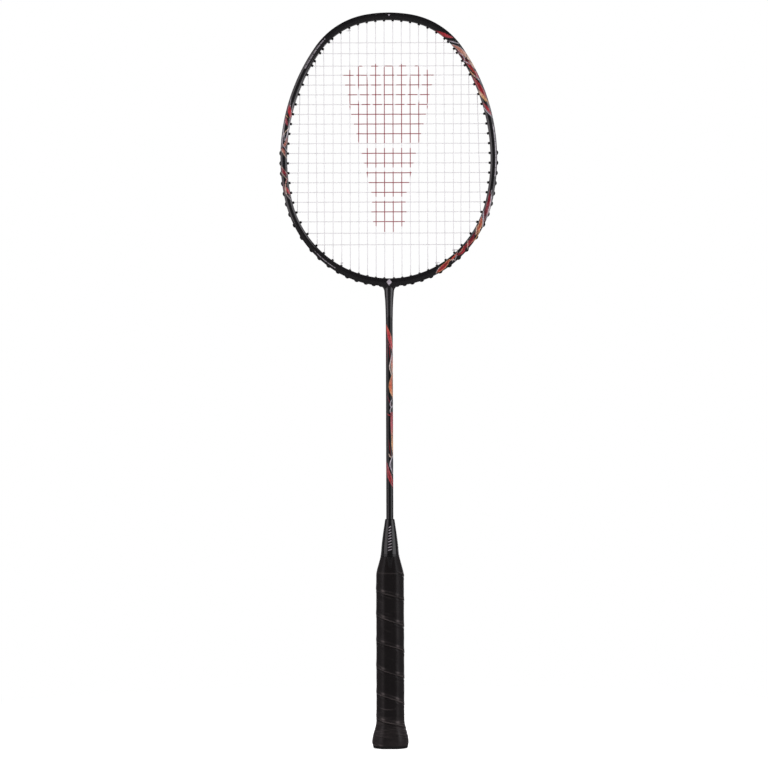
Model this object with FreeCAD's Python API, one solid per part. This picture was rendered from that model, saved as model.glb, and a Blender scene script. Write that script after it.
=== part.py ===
import FreeCAD, Part
import math
import os

# Badminton racket, in millimetres. Z runs up the shaft from the butt to the crown of the head,
# X runs across the face and Y is square to it. The origin is the centre of the butt's end face.

os.makedirs("parts", exist_ok=True)
Vector = FreeCAD.Vector
ORIGIN = Vector(0, 0, 0)
ACROSS = Vector(1, 0, 0)
BACKWARD = Vector(0, 1, 0)
UPWARD = Vector(0, 0, 1)

# ---- Driving dimensions ------------------------------------------------------------------------

overall_length = 675.0

# Each side of the head's outline is a chain of tangent arcs from the crown to the throat. An arc
# has a radius and the angle it turns through. The throat arc's radius closes the outline.
crown_radius = 119.7
crown_turn = 10.3
shoulder_radius = 71.7
shoulder_turn = 44.8
flank_radius = 178.7
flank_turn = 47.2
lower_radius = 103.0
lower_turn = 40.7

# The hoop is a hollow carbon tube with a string groove along its outer face.
hoop_width = 6.5
hoop_depth = 10.0
hoop_wall = 0.9
groove_width = 4.2
groove_depth = 1.9
outer_rounding = 1.3
inner_rounding = 3.0
groove_rounding = 0.4
cavity_outer_rounding = 0.5
cavity_shelf_rounding = 0.2
cavity_inner_rounding = 2.0

# The string bed: vertical mains and horizontal crosses, woven over and under each other.
string_diameter = 0.68
main_count = 22
main_pitch = 7.9
cross_count = 21
cross_pitch = 8.97
end_cross_pitch = 10.6
wide_gaps_each_end = 2
top_cross_height = 647.9
weave = 0.45

# Grommets: strips that lie in the groove, with a barrel through the hoop at every hole.
barrel_radius = 1.2
barrel_bore_radius = 0.85
barrel_tip_radius = 1.02
barrel_stub = 1.3
strip_thickness = 0.5
strip_play = 0.1
strip_rounding = 0.45
hump_radius = 2.6
hump_thickness = 0.35
hole_play = 0.05

# The shaft tube, the T-joint inside the throat, and the fairing moulded round the joint.
shaft_top_radius = 3.1
shaft_foot_radius = 3.25
shaft_bore_radius = 2.0
shaft_foot_height = 96.0
fairing_foot_height = 392.0
fairing_neck_height = 419.0
fairing_foot_radius = 3.35
fairing_neck_radius = 4.5
web_radius = 4.6
web_half_depth = 3.2
stem_length = 38.0
stem_play = 0.05
arm_turn = 12.0
arm_play = 0.2
arm_side_play = 0.8
arm_outer_rounding = 0.3
arm_inner_rounding = 1.2
shaft_top_play = 0.3
throat_groove_gap = 3.9

# The handle: a wooden core under a wrapped grip, a cone at its top and a cap on its butt.
grip_width = 25.4
grip_depth = 24.2
front_flat = 12.4
side_flat = 11.8
grip_thickness = 1.8
grip_shoulder_height = 160.0
grip_top_height = 175.4
grip_top_width = 17.4
butt_cap_height = 2.8
cap_end_width = 29.6
cap_bevel_width = 31.6
cap_bevel_height = 1.2
cap_top_width = 32.4
spigot_length = 14.0
spigot_wall = 1.5
spigot_floor = 4.0
dish_radius = 8.0
dish_depth = 0.6
plug_play = 0.02
balance_plug_foot = 30.0
balance_plug_length = 12.0
end_plug_length = 8.0
neck_radius = 4.7
neck_top_height = 193.0
core_bore_radius = 4.5
tape_thickness = 0.25
tape_foot_height = 164.5
cone_top_height = 210.0
cone_rim_radius = 4.35
cone_waist_radius = 6.5
cone_waist_height = 195.7
cone_shoulder_radius = 7.95
cone_shoulder_rise = 7.0
cone_foot_gap = 0.1
cone_wall = 1.1
staple_wire = 0.4
staple_leg = 6.0
staple_half_crown = 4.0
staple_height = 9.0
staple_bend = 0.9

# ---- Sizes worked out from them ------------------------------------------------------------------

hoop_half_depth = hoop_depth / 2
groove_half = groove_width / 2
string_radius = string_diameter / 2
mouth = -(hoop_width + barrel_stub)
strip_face = strip_thickness - groove_depth
lane_height = strip_face + string_radius + 0.12
# Strings run side by side in the groove: mains at the back, crosses at the front, and the tails
# that lead to the knots outside both.
main_lane = 0.37
cross_lane = -0.37
main_tail_lane = 1.2
cross_tail_lane = -1.2


def sin_deg(angle):
    return math.sin(math.radians(angle))


def cos_deg(angle):
    return math.cos(math.radians(angle))


# ---- General shapes ------------------------------------------------------------------------------

def tangent_chain(points, reaches, closed=False):
    """Straight edges through the points, with a tangent arc that starts its reach before each
    corner and ends the same distance after it. No reach takes over 45% of a run."""
    count = len(points)
    arcs = {}
    for index in range(count) if closed else range(1, count - 1):
        corner = points[index]
        back = points[index - 1] - corner
        ahead = points[(index + 1) % count] - corner
        reach = min(reaches[index], 0.45 * back.Length, 0.45 * ahead.Length)
        back.normalize()
        ahead.normalize()
        half_turn = (math.pi - back.getAngle(ahead)) / 2
        if half_turn < 1e-4 or reach < 1e-6:
            arcs[index] = (corner, None, corner)
            continue
        radius = reach / math.tan(half_turn)
        inward = (back + ahead).normalize()
        middle = corner + inward * (radius / math.cos(half_turn) - radius)
        arcs[index] = (corner + back * reach, middle, corner + ahead * reach)
    edges = []
    last = arcs[count - 1][2] if closed else points[0]
    for index in sorted(arcs):
        start, middle, end = arcs[index]
        edges.append(Part.LineSegment(last, start).toShape())
        if middle is not None:
            edges.append(Part.Arc(start, middle, end).toShape())
        last = end
    if not closed:
        edges.append(Part.LineSegment(last, points[-1]).toShape())
    return edges


def section_face(corners):
    """A flat face in XY from (x, y, rounding) corners."""
    points = [Vector(x, y, 0) for x, y, rounding in corners]
    reaches = [rounding for x, y, rounding in corners]
    return Part.Face(Part.Wire(tangent_chain(points, reaches, closed=True)))


def turned(profile):
    """A solid of revolution about Z from (radius, height) corners that close on themselves."""
    points = [Vector(radius, 0, height) for radius, height in profile]
    return Part.Face(Part.makePolygon(points + points[:1])).revolve(ORIGIN, UPWARD, 360)


def rod(radius, start, end):
    """A cylinder between two points."""
    return Part.makeCylinder(radius, (end - start).Length, start, end - start)


def fused(shapes):
    return shapes[0].multiFuse(shapes[1:])


def both_sides(shape):
    """The shape joined to its mirror image across the middle of the racket."""
    return shape.fuse(shape.mirror(ORIGIN, ACROSS))


def tube_along(points, reaches, radius):
    """A round tube along straight runs joined by tangent arcs, and its length."""
    path = Part.Wire(tangent_chain(points, reaches))
    circle = Part.Wire([Part.makeCircle(radius, points[0], points[1] - points[0])])
    sweep = Part.BRepOffsetAPI.MakePipeShell(path)
    sweep.add(circle)
    sweep.build()
    sweep.makeSolid()
    return sweep.shape(), path.Length


# ---- The head's outline --------------------------------------------------------------------------

def outline_arcs():
    """The right half of the outline as (start, end, radius, centre x, centre z), where start and
    end are turns in degrees, 0 at the crown and 180 at the throat."""
    radii = [crown_radius, shoulder_radius, flank_radius, lower_radius]
    ends = [0.0]
    for turn in (crown_turn, shoulder_turn, flank_turn, lower_turn):
        ends.append(ends[-1] + turn)
    reach = sum(r * (sin_deg(b) - sin_deg(a)) for r, a, b in zip(radii, ends, ends[1:]))
    radii.append(reach / sin_deg(ends[-1]))
    ends.append(180.0)
    centre_x = 0.0
    centre_z = overall_length - crown_radius
    arcs = []
    for index, radius in enumerate(radii):
        if index > 0:
            centre_x += (radii[index - 1] - radius) * sin_deg(ends[index])
            centre_z += (radii[index - 1] - radius) * cos_deg(ends[index])
        arcs.append((ends[index], ends[index + 1], radius, centre_x, centre_z))
    return arcs


ARCS = outline_arcs()


def arc_at(turn):
    return next(arc for arc in ARCS if abs(turn) <= arc[1] + 1e-9)


def hoop_point(turn, out=0.0, side=0.0):
    """The point at a turn, out from the outline and side towards the back. A negative turn is on
    the left half of the head."""
    start, end, radius, centre_x, centre_z = arc_at(turn)
    hand = -1 if turn < 0 else 1
    reach = radius + out
    return Vector(hand * centre_x + reach * sin_deg(turn), side, centre_z + reach * cos_deg(turn))


def outward_at(turn):
    return Vector(sin_deg(turn), 0, cos_deg(turn))


def ring(section, start, end):
    """The section swept round the right half of the hoop between two turns. The section is drawn
    in XY, with x outwards from the outline and y towards the back."""
    pieces = []
    for arc_start, arc_end, radius, centre_x, centre_z in ARCS:
        low = max(start, arc_start)
        high = min(end, arc_end)
        if high - low < 1e-6:
            continue
        outward = outward_at(low)
        along = outward.cross(BACKWARD)
        place = hoop_point(low)
        if low == arc_start:
            place = Vector(centre_x, 0, centre_z) + outward * radius
        matrix = FreeCAD.Matrix(outward.x, 0, along.x, place.x, 0, 1, 0, 0,
                                outward.z, 0, along.z, place.z, 0, 0, 0, 1)
        face = section.copy()
        face.Placement = FreeCAD.Placement(matrix)
        pieces.append(face.revolve(Vector(centre_x, 0, centre_z), BACKWARD, high - low))
    return fused(pieces) if len(pieces) > 1 else pieces[0]


def outline_length(turn):
    """Length along the right half of the outline from the crown to a turn."""
    covered = [(max(0.0, min(turn, end) - start), radius) for start, end, radius, x, z in ARCS]
    return sum(math.radians(span) * radius for span, radius in covered)


def outline_turn(length):
    """The turn at a length along the right half of the outline."""
    for start, end, radius, centre_x, centre_z in ARCS:
        span = math.degrees(length / radius)
        if span <= end - start:
            return start + span
        length -= math.radians(end - start) * radius
    return THROAT_TURN


def turn_where(axis, value, low, high):
    """The turn between low and high at which the barrels' mouths reach an x or z value."""
    falling = getattr(hoop_point(low, mouth), axis) > value
    for step in range(60):
        middle = (low + high) / 2
        if (getattr(hoop_point(middle, mouth), axis) > value) == falling:
            low = middle
        else:
            high = middle
    return (low + high) / 2


THROAT_TURN = ARCS[-1][1]
groove_end = THROAT_TURN - throat_groove_gap
groove_height = 2.0
throat_height = hoop_point(THROAT_TURN).z

# ---- String positions and holes ------------------------------------------------------------------

main_half_count = main_count // 2
widest_turn = 90.0
# Mains are counted from the middle outwards and crosses from the top down. Near the head's corners
# they reach the hoop close together. Some mains there share the hole of a cross, and the holes of
# other pairs are moved until they are a set distance apart along the outline.
crosses_shared_at_top = {9: 3, 10: 5}
crosses_shared_at_bottom = {10: 17, 9: 19, 8: 20}
top_pairs = {6: 0, 7: 1, 8: 2}
top_pair_gap = 4.9
# The holes nearest the shaft lean away from it, so that the strings clear the fairing.
throat_hole_leans = {0: 1.9, 1: 0.8}


def main_x(index):
    return (index - (main_count - 1) / 2) * main_pitch


def cross_z(index):
    wide = min(index, wide_gaps_each_end)
    wide += max(0, index - (cross_count - 1 - wide_gaps_each_end))
    return top_cross_height - wide * end_cross_pitch - (index - wide) * cross_pitch


def spread_pairs(mains, crosses, pairs, gap):
    """Moves the holes of each pair equally until they are a gap apart."""
    for step, cross in pairs.items():
        middle = (outline_length(mains[step]) + outline_length(crosses[cross])) / 2
        mains[step] = outline_turn(middle - gap / 2)
        crosses[cross] = outline_turn(middle + gap / 2)


def right_half_holes():
    """Turns of the holes on the right: mains at the top, mains at the bottom, and crosses."""
    mains = [main_x(main_half_count + step) for step in range(main_half_count)]
    tops = [turn_where("x", x, 0.0, widest_turn) for x in mains]
    bottoms = [turn_where("x", x, widest_turn, THROAT_TURN) for x in mains]
    crosses = [turn_where("z", cross_z(index), 0.0, THROAT_TURN) for index in range(cross_count)]
    spread_pairs(tops, crosses, top_pairs, top_pair_gap)
    for step, cross in crosses_shared_at_top.items():
        tops[step] = crosses[cross]
    for step, cross in crosses_shared_at_bottom.items():
        bottoms[step] = crosses[cross]
    return tops, bottoms, crosses


TOPS, BOTTOMS, CROSSES = right_half_holes()


def main_hole(index, at_top):
    """A main's hole as (turn inside the hoop, turn outside it)."""
    step = index - main_half_count if index >= main_half_count else main_half_count - 1 - index
    hand = 1 if index >= main_half_count else -1
    inner = TOPS[step] if at_top else BOTTOMS[step]
    lean = 0.0 if at_top else throat_hole_leans.get(step, 0.0)
    return hand * inner, hand * (inner - lean)


def cross_hole(index, hand):
    return hand * CROSSES[index], hand * CROSSES[index]


def all_holes():
    holes = {main_hole(index, at_top) for index in range(main_count) for at_top in (True, False)}
    holes |= {cross_hole(index, hand) for index in range(cross_count) for hand in (-1, 1)}
    return sorted(holes)


def inside_mouth(hole, lane):
    return hoop_point(hole[0], mouth, lane)


def outside_mouth(hole, lane):
    return hoop_point(hole[1], lane_height, lane)


def main_line(main, height):
    """X at a height on a main, which runs straight from its top hole to its bottom hole."""
    top = inside_mouth(main_hole(main, True), 0)
    bottom = inside_mouth(main_hole(main, False), 0)
    return bottom.x + (top.x - bottom.x) * (height - bottom.z) / (top.z - bottom.z)


def cross_line(cross):
    """Height of a cross, which runs level from hole to hole."""
    return inside_mouth(cross_hole(cross, 1), 0).z


def they_cross(main, cross):
    """Whether a main and a cross meet inside the head, clear of the holes."""
    edge_gap = 0.8
    z = cross_line(cross)
    x = abs(main_line(main, z))
    top = inside_mouth(main_hole(main, True), 0).z
    bottom = inside_mouth(main_hole(main, False), 0).z
    width = inside_mouth(cross_hole(cross, 1), 0).x
    return x < width - edge_gap and bottom + edge_gap < z < top - edge_gap


def woven_side(main, cross):
    """How far behind the middle plane a main lies where it meets a cross."""
    return weave if (main + cross) % 2 == 0 else -weave


# ---- Head ----------------------------------------------------------------------------------------

def hoop_section():
    half = hoop_half_depth
    return section_face([
        (0, -half, outer_rounding), (0, half, outer_rounding),
        (-hoop_width, half, inner_rounding), (-hoop_width, -half, inner_rounding)])


def cavity_section():
    """The hollow inside the hoop, which steps in behind the string groove."""
    half = hoop_half_depth - hoop_wall
    shelf = groove_half + hoop_wall
    outer = -hoop_wall
    behind_groove = -(groove_depth + hoop_wall)
    inner = -(hoop_width - hoop_wall)
    edge = cavity_outer_rounding
    step = cavity_shelf_rounding
    return section_face([
        (outer, -half, edge), (outer, -shelf, step), (behind_groove, -shelf, step),
        (behind_groove, shelf, step), (outer, shelf, step), (outer, half, edge),
        (inner, half, cavity_inner_rounding), (inner, -half, cavity_inner_rounding)])


def groove_section(height):
    return section_face([
        (-groove_depth, -groove_half, groove_rounding), (-groove_depth, groove_half, groove_rounding),
        (height, groove_half, 0), (height, -groove_half, 0)])


def shaft_outline(top, foot):
    """The shaft's outside as a solid between two heights, tapering over its whole length."""
    slope = (shaft_foot_radius - shaft_top_radius) / (throat_height - shaft_foot_height)
    top_radius = shaft_top_radius + slope * (throat_height - top)
    foot_radius = shaft_top_radius + slope * (throat_height - foot)
    return Part.makeCone(foot_radius, top_radius, top - foot, Vector(0, 0, foot), UPWARD)


def throat_fairing():
    """The socket moulded round the top of the shaft, with a web on each side up to the hoop."""
    root = throat_height + hoop_width / 2
    socket = turned([
        (0, fairing_foot_height), (fairing_foot_radius, fairing_foot_height),
        (fairing_neck_radius, fairing_neck_height), (fairing_neck_radius, root), (0, root)])
    neck = fairing_neck_radius
    foot = throat_height - web_radius
    tip = neck + web_radius
    start = Vector(neck, -web_half_depth, foot)
    middle = Vector(tip - web_radius * cos_deg(45), -web_half_depth, foot + web_radius * sin_deg(45))
    into_hoop = 0.4
    end = Vector(tip, -web_half_depth, throat_height + into_hoop)
    top_outside = Vector(tip, -web_half_depth, root)
    top_inside = Vector(0, -web_half_depth, root)
    foot_inside = Vector(0, -web_half_depth, foot)
    edges = [
        Part.Arc(start, middle, end).toShape(),
        Part.LineSegment(end, top_outside).toShape(),
        Part.LineSegment(top_outside, top_inside).toShape(),
        Part.LineSegment(top_inside, foot_inside).toShape(),
        Part.LineSegment(foot_inside, start).toShape()]
    web = Part.Face(Part.Wire(edges)).extrude(BACKWARD * (2 * web_half_depth))
    return socket.fuse(both_sides(web))


def hole_cutter(hole, radius, start_out, end_out):
    """A rod on a hole's axis between two distances from the outline, for any lean."""
    outside = hoop_point(hole[1], -groove_depth)
    inside = hoop_point(hole[0], mouth)
    axis = (inside - outside) * (1 / (-groove_depth - mouth))
    start = outside - axis * (start_out + groove_depth)
    end = outside - axis * (end_out + groove_depth)
    return rod(radius, start, end)


def head_frame():
    """The carbon head: hollow hoop, throat fairing, string groove and string holes."""
    overshoot = 1.0
    stem_reach = 3.5
    body = both_sides(ring(hoop_section(), 0, THROAT_TURN)).fuse(throat_fairing())
    cavity = both_sides(ring(cavity_section(), 0, THROAT_TURN))
    groove = both_sides(ring(groove_section(groove_height), 0, groove_end))
    socket = shaft_outline(throat_height - shaft_top_play, fairing_foot_height - overshoot)
    stem_foot = Vector(0, 0, throat_height - overshoot)
    stem = rod(shaft_bore_radius, stem_foot, Vector(0, 0, throat_height + stem_reach))
    body = body.cut([cavity, groove, socket, stem])
    radius = barrel_radius + hole_play
    inner_end = -hoop_width - overshoot / 2
    return body.cut([hole_cutter(hole, radius, -overshoot, inner_end) for hole in all_holes()])


def t_joint():
    """Aluminium T inside the throat: two curved arms in the hoop and a stem in the shaft."""
    outer = -(groove_depth + hoop_wall + arm_play)
    inner = -(hoop_width - hoop_wall - arm_play)
    half = hoop_half_depth - hoop_wall - arm_side_play
    section = section_face([
        (outer, -half, arm_outer_rounding), (outer, half, arm_outer_rounding),
        (inner, half, arm_inner_rounding), (inner, -half, arm_inner_rounding)])
    arms = both_sides(ring(section, THROAT_TURN - arm_turn, THROAT_TURN))
    top = Vector(0, 0, throat_height - (outer + inner) / 2)
    foot = Vector(0, 0, throat_height - stem_length)
    joint = arms.fuse(rod(shaft_bore_radius - stem_play, foot, top))
    near = [hole for hole in all_holes() if abs(hole[0]) > THROAT_TURN - arm_turn]
    return joint.cut([hole_cutter(hole, barrel_radius + hole_play, 0.0, mouth) for hole in near])


# ---- Grommets ------------------------------------------------------------------------------------

def barrel(hole):
    """A grommet barrel through the hoop, with a tapered stub standing out inside it."""
    outside = hoop_point(hole[1], -groove_depth)
    inside = hoop_point(hole[0], mouth)
    axis = inside - outside
    through = 1 - barrel_stub / (-groove_depth - mouth)
    shoulder = outside + axis * through
    stub = Part.makeCone(barrel_radius, barrel_tip_radius, axis.Length * (1 - through), shoulder, axis)
    return rod(barrel_radius, outside, shoulder).fuse(stub)


def hump(hole, side):
    """One of the two rounded ears that guard a string where it enters its hole."""
    bedded = 0.1
    base = hoop_point(hole[1], strip_face - bedded, side)
    outward = outward_at(hole[1])
    along = outward.cross(BACKWARD)
    left = base - along * hump_radius
    right = base + along * hump_radius
    edges = [
        Part.Arc(left, base + outward * hump_radius, right).toShape(),
        Part.LineSegment(right, left).toShape()]
    return Part.Face(Part.Wire(edges)).extrude(BACKWARD * hump_thickness)


def grommet_strip(start, end, humped):
    """A strip in the groove between two turns, with the barrels of the holes it covers. A strip
    that starts at 0 crosses the crown and covers both sides."""
    half = groove_half - strip_play
    section = section_face([
        (-groove_depth, -half, strip_rounding), (-groove_depth, half, strip_rounding),
        (strip_face, half, 0), (strip_face, -half, 0)])
    strip = ring(section, start, end)
    low = start
    if start == 0:
        strip = both_sides(strip)
        low = -end
    holes = [hole for hole in all_holes() if low < hole[1] < end]
    pieces = [strip] + [barrel(hole) for hole in holes]
    if humped:
        for side in (-half, half - hump_thickness):
            pieces += [hump(hole, side) for hole in holes]
    overshoot = 1.0
    bores = [hole_cutter(hole, barrel_bore_radius, 2 * overshoot, mouth - overshoot) for hole in holes]
    past_groove = ring(groove_section(groove_height), groove_end, THROAT_TURN)
    return fused(pieces).cut(bores + [past_groove])


# ---- Strings -------------------------------------------------------------------------------------

mouth_reach = 0.8
rim_reach = 0.7
weave_reach = 1.2
groove_reach = 3.0
groove_run = 7.0
# Mains whose holes take the loose ends: the main string's at the bottom left and bottom right,
# and the cross string's at the top left and bottom right.
left_main_tie = 5
right_main_tie = 18
top_cross_tie = 6
bottom_cross_tie = 16


def along_groove(start, end, lane):
    """Points in the groove between two turns, without the two ends."""
    radius = arc_at((start + end) / 2)[2]
    steps = max(1, math.ceil(math.radians(abs(end - start)) * radius / groove_run))
    turns = [start + (end - start) * step / steps for step in range(1, steps)]
    return [(hoop_point(turn, lane_height, lane), groove_reach) for turn in turns]


def run_across(start_hole, crossings, end_hole, lane):
    """One string across the head, from outside one hole to outside the other."""
    return ([(outside_mouth(start_hole, lane), rim_reach), (inside_mouth(start_hole, lane), mouth_reach)]
            + [(point, weave_reach) for point in crossings]
            + [(inside_mouth(end_hole, lane), mouth_reach), (outside_mouth(end_hole, lane), rim_reach)])


def main_crossings(main):
    """Points of a main where it meets the crosses, from the bottom up."""
    met = [cross for cross in reversed(range(cross_count)) if they_cross(main, cross)]
    heights = [(cross, cross_line(cross)) for cross in met]
    return [Vector(main_line(main, z), woven_side(main, cross), z) for cross, z in heights]


def cross_crossings(cross):
    """Points of a cross where it meets the mains, from left to right."""
    met = [main for main in range(main_count) if they_cross(main, cross)]
    z = cross_line(cross)
    return [Vector(main_line(main, z), -woven_side(main, cross), z) for main in met]


knot_offset = 0.72
knot_start = 1.3
knot_spacing = 0.66
knot_tail_gap = 0.06
knot_bulk = 0.005
trimmed_length = 1.8


def knot_place(tie_main, at_top):
    """Where a knot sits on a main: its centre and the main's direction away from the hoop."""
    crossings = main_crossings(tie_main)
    mouth_point = inside_mouth(main_hole(tie_main, at_top), main_lane)
    direction = ((crossings[-1] if at_top else crossings[0]) - mouth_point).normalize()
    return mouth_point + direction * knot_start, direction


def tail(tie_main, at_top, end_hole, lane):
    """A loose end, from its knot out through the tied main's hole and along the groove."""
    tie_hole = main_hole(tie_main, at_top)
    centre, direction = knot_place(tie_main, at_top)
    end = centre - direction * (string_radius + knot_tail_gap) - BACKWARD * knot_offset
    return ([(end, 0.0), (inside_mouth(tie_hole, cross_lane), mouth_reach),
             (outside_mouth(tie_hole, cross_lane), rim_reach)]
            + along_groove(tie_hole[1], end_hole[1], lane))


def woven_string(first_tail, runs, last_tail, lane):
    """A tail, the runs across the head joined through the groove, and the other tail."""
    path = list(first_tail)
    for index, run in enumerate(runs):
        start_hole, crossings, end_hole = run
        path += run_across(start_hole, crossings, end_hole, lane)
        if index + 1 < len(runs):
            path += along_groove(end_hole[1], runs[index + 1][0][1], lane)
    path += list(reversed(last_tail))
    points = [point for point, reach in path]
    reaches = [reach for point, reach in path]
    return tube_along(points, reaches, string_radius)


def main_string():
    runs = []
    for main in range(main_count):
        bottom = main_hole(main, False)
        top = main_hole(main, True)
        crossings = main_crossings(main)
        runs.append((bottom, crossings, top) if main % 2 == 0 else (top, crossings[::-1], bottom))
    first = tail(left_main_tie, False, runs[0][0], main_tail_lane)
    last = tail(right_main_tie, False, runs[-1][2], main_tail_lane)
    return woven_string(first, runs, last, main_lane)


def cross_string():
    runs = []
    for cross in range(cross_count):
        left = cross_hole(cross, -1)
        right = cross_hole(cross, 1)
        crossings = cross_crossings(cross)
        runs.append((left, crossings, right) if cross % 2 == 0 else (right, crossings[::-1], left))
    first = tail(top_cross_tie, True, runs[0][0], cross_tail_lane)
    last = tail(bottom_cross_tie, False, runs[-1][2], cross_tail_lane)
    return woven_string(first, runs, last, cross_lane)


def knot(tie_main, at_top):
    """Two half hitches round a main, and the trimmed end of the string."""
    centre, direction = knot_place(tie_main, at_top)
    second = centre + direction * knot_spacing
    thickness = string_radius + knot_bulk
    hitches = [Part.makeTorus(knot_offset, thickness, place, direction) for place in (centre, second)]
    start = second + ACROSS * knot_offset
    outwards = (ACROSS + direction * 0.4).normalize()
    return fused(hitches + [rod(string_radius * 0.95, start, start + outwards * trimmed_length)])


# ---- Shaft ---------------------------------------------------------------------------------------

def shaft():
    outside = shaft_outline(throat_height - shaft_top_play, shaft_foot_height)
    bore = rod(shaft_bore_radius, Vector(0, 0, shaft_foot_height - 1), Vector(0, 0, throat_height))
    return outside.cut(bore)


def shaft_end_plug():
    """Foam plug that keeps glue out of the shaft's foot."""
    foot = Vector(0, 0, shaft_foot_height)
    return rod(shaft_bore_radius - plug_play, foot, foot + UPWARD * end_plug_length)


def shaft_cone():
    """Glossy cone over the handle's neck: a thin shell that closes on the shaft at its top."""
    top = cone_top_height
    foot = grip_top_height + cone_foot_gap
    bore = shaft_foot_radius + 0.02
    shoulder_height = foot + cone_shoulder_rise
    lip = grip_top_width / 2 + 0.1
    rim = Vector(cone_rim_radius, 0, top)
    waist = Vector(cone_waist_radius, 0, cone_waist_height)
    shoulder = Vector(cone_shoulder_radius, 0, shoulder_height)
    outside = [
        Part.LineSegment(Vector(bore, 0, top), rim).toShape(),
        Part.Arc(rim, waist, shoulder).toShape(),
        Part.LineSegment(shoulder, Vector(lip, 0, foot)).toShape()]
    inner = [(lip, foot), (lip - cone_wall, foot), (cone_shoulder_radius - cone_wall, shoulder_height),
             (neck_radius + 0.2, neck_top_height + 1), (bore, neck_top_height + 4), (bore, top)]
    inside = Part.makePolygon([Vector(radius, 0, height) for radius, height in inner]).Edges
    return Part.Face(Part.Wire(outside + inside)).revolve(ORIGIN, UPWARD, 360)


# ---- Handle --------------------------------------------------------------------------------------

def octagon(width, height, wrap):
    """The handle's octagon at a height, for a grip of the given width, less the wrap's
    thickness on each side."""
    scale = width / grip_width
    ratio = (width - 2 * wrap) / width * scale
    half_width = grip_width / 2 * ratio
    half_depth = grip_depth / 2 * ratio
    front = front_flat / 2 * ratio
    side = side_flat / 2 * ratio
    corners = [
        (front, half_depth), (half_width, side), (half_width, -side), (front, -half_depth),
        (-front, -half_depth), (-half_width, -side), (-half_width, side), (-front, half_depth)]
    points = [Vector(x, y, height) for x, y in corners]
    return Part.makePolygon(points + points[:1])


# Widths of the grip over the butt's flare, from the cap up to where the handle runs straight.
butt_flare = [(butt_cap_height, 32.4), (5.0, 33.3), (8.0, 33.0), (10.5, 31.9), (13.5, 30.3),
              (16.5, 28.5), (20.0, 26.8), (26.0, grip_width)]
flare_width_at_staples = 31.9


def handle_solid(wrap, foot_height, top_height):
    """The octagonal handle up to its tapered top, less a wrap's thickness."""
    levels = [level for level in butt_flare if level[0] >= foot_height]
    levels.append((grip_shoulder_height, grip_width))
    levels.append((grip_top_height, grip_top_width))
    wires = [octagon(width, height, wrap) for height, width in levels if height <= top_height]
    return Part.makeLoft(wires, True, True)


def staple(side):
    """A wire staple that pins the grip's first turn to the core."""
    surface = flare_width_at_staples / grip_width * grip_depth / 2 - grip_thickness + staple_wire
    points = [(-staple_half_crown, surface - staple_leg), (-staple_half_crown, surface),
              (staple_half_crown, surface), (staple_half_crown, surface - staple_leg)]
    corners = [Vector(x, side * depth, staple_height) for x, depth in points]
    return tube_along(corners, [0, staple_bend, staple_bend, 0], staple_wire)[0]


def grip_staples():
    return [staple(-1), staple(1)]


def handle_core():
    """Wooden core: octagonal, flared at the butt, tapered to a round neck and bored for the shaft."""
    body = handle_solid(grip_thickness, butt_cap_height, grip_top_height)
    neck = rod(neck_radius, Vector(0, 0, grip_shoulder_height), Vector(0, 0, neck_top_height))
    shaft_bore = shaft_outline(neck_top_height + 1, shaft_foot_height)
    butt_bore = rod(core_bore_radius, ORIGIN, Vector(0, 0, shaft_foot_height - 4))
    throat_bore = rod(shaft_bore_radius, ORIGIN, Vector(0, 0, shaft_foot_height))
    return body.fuse(neck).cut([shaft_bore, butt_bore, throat_bore] + grip_staples())


def grip_wrap():
    """The wrapped grip as one sleeve of its outer shape."""
    outside = handle_solid(0, butt_cap_height, grip_top_height)
    inside = handle_solid(grip_thickness, butt_cap_height, grip_top_height)
    return outside.cut([inside] + grip_staples())


def finishing_tape():
    """Tape over the grip's top end, on the taper below the cone."""
    taper = (grip_width - grip_top_width) / (grip_top_height - grip_shoulder_height)
    foot_width = grip_top_width + taper * (grip_top_height - tape_foot_height)
    levels = [(tape_foot_height, foot_width), (grip_top_height, grip_top_width)]
    outside = Part.makeLoft([octagon(width, height, -tape_thickness) for height, width in levels], True, True)
    inside = Part.makeLoft([octagon(width, height, 0) for height, width in levels], True, True)
    return outside.cut(inside)


def balance_plug():
    """Weighted plug pressed into the butt bore."""
    foot = Vector(0, 0, balance_plug_foot)
    return rod(core_bore_radius - plug_play, foot, foot + UPWARD * balance_plug_length)


def butt_cap():
    """Cap on the butt: a rounded plate with a shallow dish in its end and a spigot in the bore."""
    plate = Part.makeLoft([
        octagon(cap_end_width, 0, 0), octagon(cap_bevel_width, cap_bevel_height, 0),
        octagon(cap_top_width, butt_cap_height, 0)], True, True)
    spigot = rod(core_bore_radius - plug_play, ORIGIN, UPWARD * spigot_length)
    hollow = rod(core_bore_radius - spigot_wall, UPWARD * spigot_floor, UPWARD * (spigot_length + 1))
    dish = rod(dish_radius, UPWARD * -1, UPWARD * dish_depth)
    return plate.fuse(spigot).cut([hollow, dish])


# ---- Output --------------------------------------------------------------------------------------

crown_strip_end = 30.0
shoulder_strip_end = 87.5
flank_strip_end = 126.5
throat_strip_end = groove_end - 0.05
strip_gap = 0.4
STRIPS = {
    "shoulder": (crown_strip_end + strip_gap, shoulder_strip_end, False),
    "flank": (shoulder_strip_end + strip_gap, flank_strip_end, True),
    "throat": (flank_strip_end + strip_gap, throat_strip_end, True)}


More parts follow.
